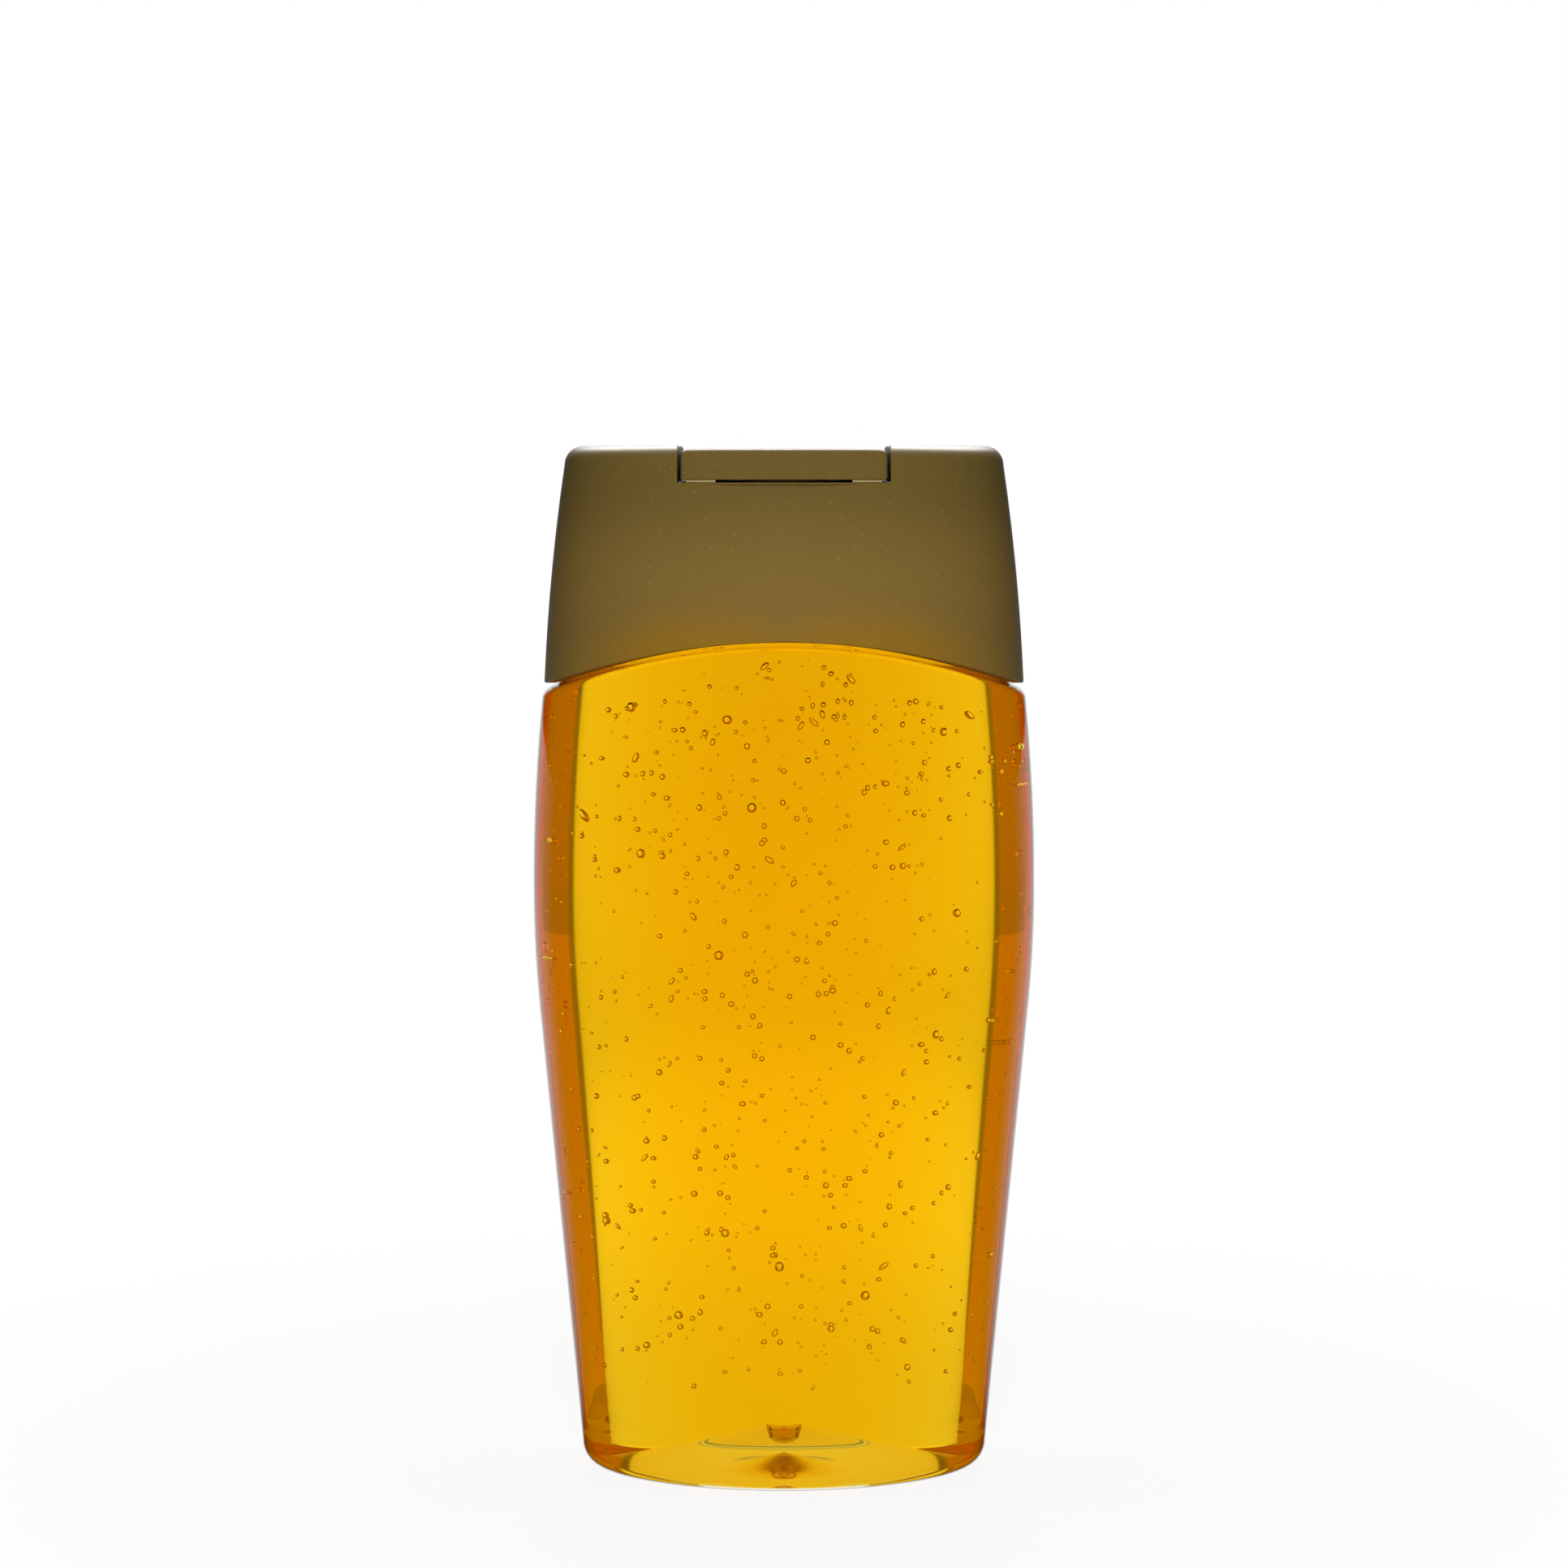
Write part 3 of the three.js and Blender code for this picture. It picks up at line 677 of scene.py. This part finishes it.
def eight_sided(rings):
    """Gives the rod's mark in the bottle's floor its eight sides."""
    for ring in rings:
        for i, (x, y, z) in enumerate(ring):
            if math.hypot(x, y) <= ROD_MARK_RADIUS + TOUCH and z > GATE_RISE + PUSH_UP + MARGIN:
                turn = math.atan2(y, x) % (math.pi / 4) - math.pi / 8
                share = math.cos(math.pi / 8) / math.cos(turn)
                ring[i] = (x * share, y * share, z)
    return rings


def on_base(face):
    """Whether a face lies on the base, on its upper or its lower side."""
    x, y, z = (c / MM for c in face.center)
    wide, deep = (skin_outline(*way)[BASE_POINTS - 1][0] for way in (SIDE_WAY, FACE_WAY))
    return z < FLOOR_CREST + MARGIN and (x / wide) ** 2 + (y / deep) ** 2 < 1


def make_bottle():
    rings = oval_rings(bottle_outline(SIDE_WAY), bottle_outline(FACE_WAY))
    bottle = draw_up("bottle_shell", eight_sided(rings))
    smooth(bottle, degrees=40)
    for look in (clear_pet(), wetted_pet(), thick_pet(), wetted_base_pet()):
        bottle.data.materials.append(look)
    wetted, thick, wetted_base = 1, 2, 3
    for face in bottle.data.polygons:
        x, y, z = (c / MM for c in face.center)
        on_axis = Vector((0, 0, min(max(z, AXIS_LOW), AXIS_HIGH) * MM))
        if on_base(face):
            face.material_index = thick if face.normal.z < 0 else wetted_base
        elif z > NECK_ROOT and math.hypot(x, y) < BEAD_RADIUS + MARGIN:
            face.material_index = thick
        elif face.normal.dot(face.center - on_axis) < 0:
            face.material_index = wetted
    return bottle


def honey_outline(way):
    bore = NECK_BORE - HONEY_GAP
    points = inside_outline(way, BOTTLE_WALL + HONEY_GAP, bore)
    points += arc(bore - MENISCUS, HONEY_LEVEL + MENISCUS, MENISCUS, MENISCUS, 0, -90, count=5)
    return points + [(bore / 2, HONEY_LEVEL), (0, HONEY_LEVEL)]


def air_ball(segments, rings):
    """A round hollow of 1 mm radius, turned inside out, because the honey is outside it."""
    bpy.ops.object.select_all(action="DESELECT")
    bpy.ops.mesh.primitive_uv_sphere_add(segments=segments, ring_count=rings, radius=MM)
    bpy.ops.object.mode_set(mode="EDIT")
    bpy.ops.mesh.select_all(action="SELECT")
    bpy.ops.mesh.flip_normals()
    bpy.ops.object.mode_set(mode="OBJECT")
    bpy.ops.object.shade_smooth()
    return bpy.context.object


def bubble_places():
    """Where the bubbles are and how large, in mm; they gather towards the top, where they rise to."""
    places = []
    while len(places) < BUBBLES:
        z = BUBBLES_LOW + BUBBLES_RANGE * (1 - random.random() ** BUBBLES_RISE)
        draw = random.random()
        if draw < SPECK_SHARE:
            radius = random.uniform(*SPECK_RADII)
        else:
            radius = random.uniform(*(BALL_RADII if draw < 1 - LARGE_SHARE else LARGE_RADII))
        wide, deep = half_width(z) - BUBBLE_COVER, half_depth(z) - BUBBLE_COVER
        x, y = random.uniform(-wide, wide), random.uniform(-deep, deep)
        arch = SEAM_HEIGHT - BUBBLES_SIDE + (ARCH_RISE + BUBBLES_ARCH) * (1 - abs(x) / wide)
        if (x / wide) ** 2 + (y / deep) ** 2 < 1 and z < arch:
            places.append((x, y, z, radius))
    return places


def add_bubbles(honey):
    """Joins the bubbles to the honey's own surface; a few are drawn out and lean."""
    specks, balls = air_ball(segments=6, rings=4), air_ball(segments=8, rings=6)
    bpy.ops.object.select_all(action="DESELECT")
    for x, y, z, radius in bubble_places():
        model = balls if radius > SPECK_RADII[1] else specks
        bubble = model.copy()
        bubble.data = model.data.copy()
        drawn_out = random.random() < DRAWN_OUT_SHARE
        tall = random.uniform(*(DRAWN_OUT if drawn_out else NEARLY_ROUND))
        lean = random.uniform(-LEAN, LEAN) if drawn_out else 0
        bubble.data.transform(Matrix.Diagonal((radius, radius, radius * tall, 1)))
        bubble.data.transform(Matrix.Rotation(lean, 4, "Y"))
        bubble.data.transform(Matrix.Translation((x * MM, y * MM, z * MM)))
        bpy.context.collection.objects.link(bubble)
        bubble.select_set(True)
    for model in (specks, balls):
        bpy.data.objects.remove(model)
    honey.select_set(True)
    bpy.context.view_layer.objects.active = honey
    bpy.ops.object.join()


def make_honey():
    rings = oval_rings(honey_outline(SIDE_WAY), honey_outline(FACE_WAY))
    honey = draw_up("honey_fill", eight_sided(rings))
    smooth(honey, degrees=40)
    wetting = honey.data.attributes.new("wets_base", "FLOAT", "FACE")
    for face, wets in zip(honey.data.polygons, wetting.data):
        low = face.center.z < (FACE_HEEL_RISE + HEEL_WETTING_RISE) * MM
        on_heel = low and abs(face.center.x) < HEEL_WETTING * MM
        wets.value = float(on_heel or on_base(face))
    add_bubbles(honey)
    return honey


def cap_outline(half_at, low, wall, overrun):
    """The closure's form set in by a wall, from under its middle round its edge to the middle of its top."""
    edge = CAP_TOP_ROUND - wall
    level = CAP_TOP - wall
    points = [(0, SKIRT_LOW - overrun), ((half_at(low) - wall) / 2, low - overrun)]
    if overrun:
        points += [(half_at(low) - wall, low - overrun), (half_at(low) - wall, low)]
    else:
        points += arc(half_at(low) - SKIRT_EDGE, low + SKIRT_EDGE, SKIRT_EDGE, SKIRT_EDGE, -90, 0, count=4)
    points += [(half_at(z) - wall, z) for z in steps(low + SKIRT_EDGE, level - edge, count=20)[:-1]]
    points += arc(half_at(level - edge) - wall - edge, level - edge, edge, edge, 0, 90, count=10)
    return points + [(half_at(level) / 2, level), (0, level)]


def cap_form(name, wall=0, overrun=0):
    side = cap_outline(cap_half_width, SKIRT_LOW, wall, overrun)
    front = cap_outline(cap_half_depth, SKIRT_LOW + ARCH_RISE, wall, overrun)
    return draw_up(name, oval_rings(side, front, CAP_SEGMENTS))


def select_level_faces(cutter, way):
    """Selects a box's upper face, or its lower one where way is -1."""
    shape = bmesh.from_edit_mesh(cutter.data)
    bpy.ops.mesh.select_all(action="DESELECT")
    for face in shape.faces:
        face.select_set(face.normal.z * way > 0.9)
    bmesh.update_edit_mesh(cutter.data)


def recess_cutter():
    """The recess for the lid: a box whose upper edges flare out in a small round."""
    cutter = block((-RECESS_HALF, -BODY_DEPTH, DECK_TOP), (RECESS_HALF, BODY_DEPTH, CAP_TOP - RECESS_EDGE))
    middle = (RECESS_HALF + RECESS_EDGE, CAP_TOP - RECESS_EDGE)
    flare = arc(*middle, RECESS_EDGE, RECESS_EDGE, 180, 90, count=5)[1:]
    bpy.ops.object.mode_set(mode="EDIT")
    select_level_faces(cutter, 1)
    for across, up in flare:
        bpy.ops.mesh.extrude_region_move()
        shape = bmesh.from_edit_mesh(cutter.data)
        for corner in [v for v in shape.verts if v.select]:
            corner.co.x = math.copysign(across * MM, corner.co.x)
            corner.co.z = up * MM
    bpy.ops.mesh.extrude_region_move(TRANSFORM_OT_translate={"value": (0, 0, PAST * MM)})
    bpy.ops.object.mode_set(mode="OBJECT")
    return cutter


def relief_cutter():
    """What the deck's rounded edge at the hinge leaves free: the room that the lid's back swings through."""
    cutter = block((-RECESS_HALF, HINGE_BACK - PAST, RELIEF_TOP), (RECESS_HALF, HINGE_BACK, CAP_TOP + PAST))
    middle = (HINGE_BACK, RELIEF_TOP - RELIEF_RADIUS)
    rounding = arc(*middle, RELIEF_RADIUS, RELIEF_RADIUS, 90, 180, count=10)[1:]
    bpy.ops.object.mode_set(mode="EDIT")
    select_level_faces(cutter, -1)
    for across, up in rounding:
        bpy.ops.mesh.extrude_region_move()
        shape = bmesh.from_edit_mesh(cutter.data)
        for corner in [v for v in shape.verts if v.select]:
            if corner.co.y > (HINGE_BACK - PAST / 2) * MM:
                corner.co.y = across * MM
            corner.co.z = up * MM
    bpy.ops.object.mode_set(mode="OBJECT")
    return cutter


def collar_outline():
    """The collar round the neck, with the lip that snaps under the neck's bead."""
    low, high = COLLAR_LOW, DECK_TOP - COLLAR_SINK
    ring = [(COLLAR_INNER, high), (COLLAR_INNER, BEAD_LOW), (COLLAR_LIP, BEAD_LOW - COLLAR_CHAMFER)]
    ring += [(COLLAR_LIP, low + COLLAR_CHAMFER), (COLLAR_INNER, low)]
    ring += [(COLLAR_OUTER, low), (COLLAR_OUTER, high)]
    return ring + ring[:1]


def tube_outline(inner, outer, low, high, edge):
    ring = [(inner, low), (outer, low), (outer, high - edge), (outer - edge, high), (inner + edge, high)]
    return ring + [(inner, high - edge), (inner, low)]


def thumb_face():
    return cap_half_depth(LID_LOW)


def make_closure():
    hollow = cap_form("cap_hollow", CAP_WALL, PAST)
    walls = RECESS_HALF + CAP_WALL
    deck = block((-walls, -BODY_DEPTH, DECK_UNDER), (walls, BODY_DEPTH, CAP_TOP + PAST))
    work(hollow, deck, "DIFFERENCE")
    closure = cap_form("closure")
    work(closure, hollow, "DIFFERENCE")
    work(closure, recess_cutter(), "DIFFERENCE")
    work(closure, relief_cutter(), "DIFFERENCE")
    bpy.ops.object.select_all(action="DESELECT")
    bpy.ops.mesh.primitive_cylinder_add(
        vertices=SCOOP_SEGMENTS, radius=SCOOP_RADIUS * MM, depth=2 * LID_HALF * MM,
        rotation=(0, math.pi / 2, 0),
        location=(0, (thumb_face() + SCOOP_RADIUS - SCOOP_DEPTH) * MM, (DECK_TOP - SCOOP_BELOW_DECK) * MM))
    bpy.ops.object.transform_apply(location=True, rotation=True, scale=True)
    work(closure, bpy.context.object, "DIFFERENCE")
    work(closure, draw_up("collar", round_rings(collar_outline())), "UNION")
    plug = tube_outline(PLUG_INNER, PLUG_OUTER, PLUG_LOW, DECK_TOP - PLUG_SINK, PLUG_EDGE)
    work(closure, draw_up("plug", round_rings(plug)), "UNION")
    spout_low = DECK_UNDER + SPOUT_SINK
    spout = tube_outline(SPOUT_BORE - SPOUT_SPARE, SPOUT_OUTER, spout_low, SPOUT_TOP, SPOUT_EDGE)
    work(closure, draw_up("spout", round_rings(spout)), "UNION")
    low, high, flare = DECK_UNDER - BORE_BELOW, SPOUT_TOP + BORE_ABOVE, SPOUT_BORE + SPOUT_EDGE
    bore = [(0, low), (SPOUT_BORE, low), (SPOUT_BORE, SPOUT_TOP - SPOUT_EDGE)]
    bore += [(flare, SPOUT_TOP), (flare, high), (0, high)]
    work(closure, draw_up("bore", round_rings(bore)), "DIFFERENCE")
    smooth(closure, degrees=25)
    level_faces(closure)
    return closure


def lid_turns():
    """Angles round the lid, close together at its four upright corners."""
    turns = {2 * math.pi * i / LID_SEGMENTS for i in range(LID_SEGMENTS)}
    for depth in (HINGE_BACK, cap_half_depth(LID_TOP) * CORNER_DEPTH):
        corner = math.atan2(depth, LID_HALF)
        for i in range(-CORNER_STEPS, CORNER_STEPS + 1):
            near = corner + math.radians(i * CORNER_STEP)
            turns |= {near % (2 * math.pi), (math.pi - near) % (2 * math.pi)}
    return sorted(turns)


def lid_ring(height, taken):
    """The lid's outline in plan at a height, set in by what its rounding or its wall takes."""
    wide, deep = cap_half_width(height) - taken, cap_half_depth(height) - taken
    half, back = LID_HALF - taken, -HINGE_BACK - taken
    ring = []
    for turn in lid_turns():
        x, y = math.cos(turn), math.sin(turn)
        to_sides = abs(x / half) ** CORNER_POWER
        to_faces = math.hypot(x / wide, y / deep) ** CORNER_POWER
        to_hinge = max(0, -y / back) ** CORNER_POWER
        out = (to_sides + to_faces + to_hinge) ** (-1 / CORNER_POWER)
        ring.append((out * x, out * y, height))
    return ring


def lid_shell():
    """The lid's box, from the middle of its top over its edges to the middle of its underside."""
    middle = [(0, 0, LID_TOP)] * len(lid_turns())
    rings = [middle, [(x / 2, y / 2, LID_TOP) for x, y, z in lid_ring(LID_TOP, LID_TOP_ROUND)]]
    wall_top, wall_low = LID_TOP - LID_TOP_ROUND, LID_LOW + LID_EDGE
    for across, up in arc(-LID_TOP_ROUND, wall_top, LID_TOP_ROUND, LID_TOP_ROUND, 90, 0, count=8):
        rings.append(lid_ring(up, -across))
    rings += [lid_ring(z, 0) for z in steps(wall_top, wall_low, count=6)[:-1]]
    edge = arc(-LID_EDGE, wall_low, LID_EDGE, LID_EDGE, 0, -90, count=3)
    low_rings = [lid_ring(up, -across) for across, up in edge] + [lid_ring(LID_LOW, LID_WALL)]
    for ring in low_rings[1:]:
        for i, (x, y, z) in enumerate(ring):
            ring[i] = (x, y, z - LID_SINK * min(max(y / LID_SINK_REACH, 0), 1))
    rings += low_rings
    rings.append(lid_ring(LID_UNDER - LID_INNER_EDGE, LID_WALL))
    rings.append(lid_ring(LID_UNDER, LID_WALL + LID_INNER_EDGE))
    rings.append([(x / 2, y / 2, LID_UNDER) for x, y, z in lid_ring(LID_UNDER, LID_WALL)])
    rings.append([(0, 0, LID_UNDER)] * len(middle))
    return draw_up("lid", rings)


def thumb_lip():
    """A round tab with soft edges, which the lid's front wall leaves half of."""
    top = LID_LOW + LIP_THICKNESS
    reach = LIP_REACH + LID_WALL
    plan = arc(0, 0, 1, 1, 0, 360, LIP_SEGMENTS)[:-1]
    # Heights, each with the share of its full size that the tab has there
    profile = [(LID_LOW, 0), (LID_LOW, 0.94), (LID_LOW + 0.2, 0.985), (LID_LOW + 0.5, 1)]
    profile += [(top - 0.6, 1), (top - 0.2, 0.97), (top, 0.9), (top, 0)]
    rings = []
    for up, share in profile:
        ring = []
        for x, y in plan:
            ring.append((x * share * LIP_WIDTH / 2, thumb_face() - LID_WALL + y * share * reach, up))
        rings.append(ring)
    return draw_up("thumb_lip", rings)


def make_lid():
    lid = lid_shell()
    work(lid, thumb_lip(), "UNION")
    inner_face = thumb_face() - LID_WALL - LIP_TRIM_GAP
    trim_low = (-LIP_TRIM_HALF, inner_face - LIP_TRIM_DEPTH, LID_LOW - LIP_TRIM_BELOW)
    trim_high = (LIP_TRIM_HALF, inner_face, LID_LOW + LIP_THICKNESS + LIP_TRIM_ABOVE)
    work(lid, block(trim_low, trim_high), "DIFFERENCE")
    stopper = tube_outline(STOPPER_INNER, STOPPER_OUTER, STOPPER_LOW, LID_UNDER + STOPPER_SINK, 0)
    stopper[0] = stopper[-1] = (STOPPER_INNER, STOPPER_LOW + STOPPER_CHAMFER)
    work(lid, draw_up("stopper", round_rings(stopper)), "UNION")
    smooth(lid, degrees=30)
    level_faces(lid)
    return lid


def make_film_hinge(name, side):
    """A thin strap under the closure's face, thinnest across its middle, where it bends."""
    low, high = sorted((side * STRAP_INNER, side * STRAP_OUTER))
    back = HINGE_BACK + STRAP_THICKNESS
    strap = block((low, HINGE_BACK + STRAP_GAP, STRAP_LOW), (high, back, STRAP_HIGH))
    strap.name = strap.data.name = name
    bpy.ops.object.mode_set(mode="EDIT")
    bpy.ops.mesh.select_all(action="SELECT")
    bpy.ops.mesh.subdivide(number_cuts=STRAP_CUTS)
    shape = bmesh.from_edit_mesh(strap.data)
    for corner in shape.verts:
        x, y, z = (c / MM for c in corner.co)
        near = max(0, 1 - abs(z - HINGE_HEIGHT) / STRAP_THIN_REACH)
        if y > HINGE_BACK + STRAP_THICKNESS / 2:
            y -= STRAP_THINNING * near ** 2
        face = -cap_half_depth(z) * math.sqrt(1 - (x / cap_half_width(z)) ** 2)
        y += max(face - HINGE_BACK, 0) + STRAP_COVER
        corner.co.y = y * MM
    bmesh.update_edit_mesh(strap.data)
    bpy.ops.object.mode_set(mode="OBJECT")
    smooth(strap, degrees=40)
    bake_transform(strap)
    return strap


def make_valve():
    """A flanged cap with a dished top, slit crosswise."""
    low, ledge, top = VALVE_LOW, VALVE_LEDGE, VALVE_TOP
    head, flange, edge = VALVE_HEAD, VALVE_FLANGE, VALVE_EDGE
    within = head - VALVE_WALL
    inward, down = VALVE_HOLLOW
    outline = [(0, VALVE_DISH - VALVE_WALL), (within - inward, VALVE_DISH - down)]
    outline += [(within - VALVE_LIP, low + VALVE_FILLET), (within, low)]
    outline += [(flange - edge, low), (flange, low + edge), (flange, ledge - edge), (flange - edge, ledge)]
    outline += [(head + VALVE_FILLET, ledge), (head, ledge + VALVE_FILLET)]
    outline += [(head, top - VALVE_TOP_EDGE), (head - VALVE_TOP_EDGE, top), (within + VALVE_LIP, top)]
    outline += arc(0, top, within, top - VALVE_DISH, 0, -90, count=8)
    outline[-1] = (0, VALVE_DISH)
    valve = draw_up("valve", round_rings(outline))
    for turn in (0, math.pi / 2):
        bpy.ops.object.select_all(action="DESELECT")
        bpy.ops.mesh.primitive_cube_add(size=1, location=(0, 0, VALVE_DISH * MM), rotation=(0, 0, turn),
                                        scale=(SLIT_LENGTH * MM, SLIT_WIDTH * MM, SLIT_CUT * MM))
        bpy.ops.object.transform_apply(location=True, rotation=True, scale=True)
        work(valve, bpy.context.object, "DIFFERENCE")
    smooth(valve, degrees=35)
    return valve


def make_retainer():
    inner, outer, bevel = RETAINER_INNER, RETAINER_OUTER, RETAINER_BEVEL
    low, high = RETAINER_LOW, RETAINER_HIGH
    ring = [(inner, low + bevel), (inner + bevel, low), (outer - bevel, low), (outer, low + bevel)]
    ring += [(outer, high), (inner, high)]
    retainer = draw_up("valve_ring", round_rings(ring + ring[:1]))
    smooth(retainer, degrees=30)
    return retainer


honey_look = blossom_honey()
cap_look = pearl_polypropylene()
film_look = film_polypropylene()

finish_piece(make_bottle(), "bottle", "bottle")
finish_piece(make_honey(), "bottle", "honey", honey_look)
finish_piece(make_closure(), "cap", "cap_body", cap_look)
finish_piece(make_lid(), "lid", "flip_lid", cap_look)
finish_piece(make_film_hinge("film_hinge_left", -1), None, "hinge_strap_left", film_look)
finish_piece(make_film_hinge("film_hinge_right", 1), None, "hinge_strap_right", film_look)
finish_piece(make_valve(), "cap", "slit_valve", silicone_rubber())
finish_piece(make_retainer(), "cap", "valve_retainer", natural_polypropylene())


def between(angles):
    """How far ahead two directions point, from their angles in degrees from straight ahead."""
    return [math.cos(math.radians(angle)) for angle in angles]


def bent_or_mirrored(tree, path):
    """Whether a ray comes through the bottle or off its gloss."""
    return calc(tree, "MAXIMUM", path["Is Glossy Ray"], path["Is Transmission Ray"])


def backdrop(tree, way, path, sides, glint, glint_angles):
    """How bright the white paper looks along a direction: through the bottle, and mirrored in it.

    Seen through the bottle it is white behind and in front, with dark edges, and dimmer at the sides. In the
    bottle's gloss it fades from behind to the sides, and nothing shines from in front.
    """
    level = vector(tree, "NORMALIZE", vector(tree, "MULTIPLY", way, (1, 1, 0)))
    ahead = add(tree, "ShaderNodeSeparateXYZ", {0: level}).outputs["Y"]
    along = calc(tree, "ABSOLUTE", ahead)
    fading = ease(tree, along, to=(PAPER_OUTER, PAPER_WHITE), over=between(PAPER_FADES))
    edge = ease(tree, along, to=(PAPER_EDGE, 1), over=between(PAPER_ENDS))
    side = ease(tree, ahead, to=(sides, 0), over=between(SIDES_START))
    through = calc(tree, "MAXIMUM", calc(tree, "MULTIPLY", fading, edge), side)
    mirrored = ease(tree, ahead, to=(0, glint), over=between(glint_angles))
    sockets = {FACTOR: path["Is Transmission Ray"], NUMBER_A: mirrored, NUMBER_B: through}
    return add(tree, "ShaderNodeMix", sockets).outputs[0]


# White paper: dull and even, and it keeps the bottle's shadow near the bottle
def white_paper():
    material, tree, place = new_material("white_paper")
    path = add(tree, "ShaderNodeLightPath").outputs
    tone = mixed(tree, noise(tree, place, size=4, detail=2), "#f8f8f8", "#fdfdfd")
    paper = add(tree, "ShaderNodeBsdfDiffuse", {"Color": tone})
    dim = add(tree, "ShaderNodeBsdfDiffuse", {"Color": linear("#606060")})
    white = add(tree, "ShaderNodeEmission", {"Color": linear("#ffffff"), "Strength": 1})
    away = vector(tree, "LENGTH", place)
    overlit = ease(tree, away, to=(SHADOW_WHITE, 1), over=SHADOW_REACH)
    plain = layered(tree, path["Is Camera Ray"], dim, layered(tree, overlit, paper, white))
    # Seen through the bottle: a painted shadow near it, and a painted falloff of light far from it
    near = ease(tree, away, to=(NEAR_LIGHT, 1), over=NEAR_FLOOR)
    far = ease(tree, away, to=(1, FAR_LIGHT), over=FAR_FLOOR)
    seen = backdrop(tree, place, path, FLOOR_SIDES, FLOOR_MIRRORED, FLOOR_GLINT)
    level = calc(tree, "MULTIPLY", seen, calc(tree, "MULTIPLY", near, far))
    glow = add(tree, "ShaderNodeEmission", {"Color": linear("#ffffff"), "Strength": level})
    return covered(material, layered(tree, bent_or_mirrored(tree, path), plain, glow))


bpy.ops.object.select_all(action="DESELECT")
bpy.ops.mesh.primitive_plane_add(size=FLOOR_SIZE)
floor = bpy.context.object
floor.name = "floor"
floor.data.materials.append(white_paper())


def studio_world():
    """White paper behind and in front of the bottle, and a dim room at its sides."""
    world = bpy.data.worlds.new("studio")
    bpy.context.scene.world = world
    world.use_nodes = True
    tree = world.node_tree
    tree.nodes.clear()
    path = add(tree, "ShaderNodeLightPath").outputs
    way = add(tree, "ShaderNodeTexCoord").outputs["Generated"]
    seen = backdrop(tree, way, path, PAPER_SIDES, ROOM_MIRRORED, ROOM_GLINT)
    sockets = {FACTOR: bent_or_mirrored(tree, path), NUMBER_A: AMBIENT, NUMBER_B: seen}
    room = add(tree, "ShaderNodeMix", sockets).outputs[0]
    sockets = {FACTOR: path["Is Camera Ray"], NUMBER_A: room, NUMBER_B: 1}
    whole = add(tree, "ShaderNodeMix", sockets).outputs[0]
    sky = add(tree, "ShaderNodeBackground", {"Color": linear("#ffffff"), "Strength": whole})
    add(tree, "ShaderNodeOutputWorld", {"Surface": sky.outputs[0]})


def lamp(name, place, aim, size, watts, mirrored=False):
    """A lamp that lights what is dull or, if mirrored, shows in the gloss instead."""
    bpy.ops.object.light_add(type="AREA", location=place)
    light = bpy.context.object
    light.name = light.data.name = name
    light.data.shape = "RECTANGLE"
    light.data.size, light.data.size_y = size
    light.data.energy = watts
    line = [a - b for a, b in zip(aim, place)]
    turn = math.atan2(line[0], -line[1])
    tilt = math.atan2(math.hypot(line[0], line[1]), -line[2])
    light.rotation_euler = (tilt, 0, turn + math.pi)
    light.visible_diffuse = not mirrored
    light.visible_glossy = mirrored
    light.visible_transmission = False


studio_world()
lamp("front_lamp", place=(0, -0.7, 0.22), aim=(0, 0, 0.14), size=(0.2, 0.2), watts=5)
lamp("back_lamp", place=(0, 1.1, 0.25), aim=(0, 0, 0.14), size=(0.5, 0.3), watts=7)
lamp("top_lamp", place=(0, 0.1, 1.1), aim=(0, 0, 0.1), size=(0.8, 0.6), watts=4)
lamp("rim_lamp", place=(0, 0.7, 0.9), aim=(0, 0, 0.16), size=(1.0, 0.5), watts=26, mirrored=True)

bpy.ops.object.camera_add(location=CAMERA_PLACE, rotation=(math.radians(90 - CAMERA_DIP), 0, 0))
camera = bpy.context.object
camera.data.lens = 86.671
camera.data.sensor_width = 36
scene = bpy.context.scene
scene.camera = camera
scene.view_settings.view_transform = "Standard"
scene.cycles.max_bounces = 24
scene.cycles.glossy_bounces = 16
scene.cycles.transmission_bounces = 24
scene.cycles.transparent_max_bounces = 24
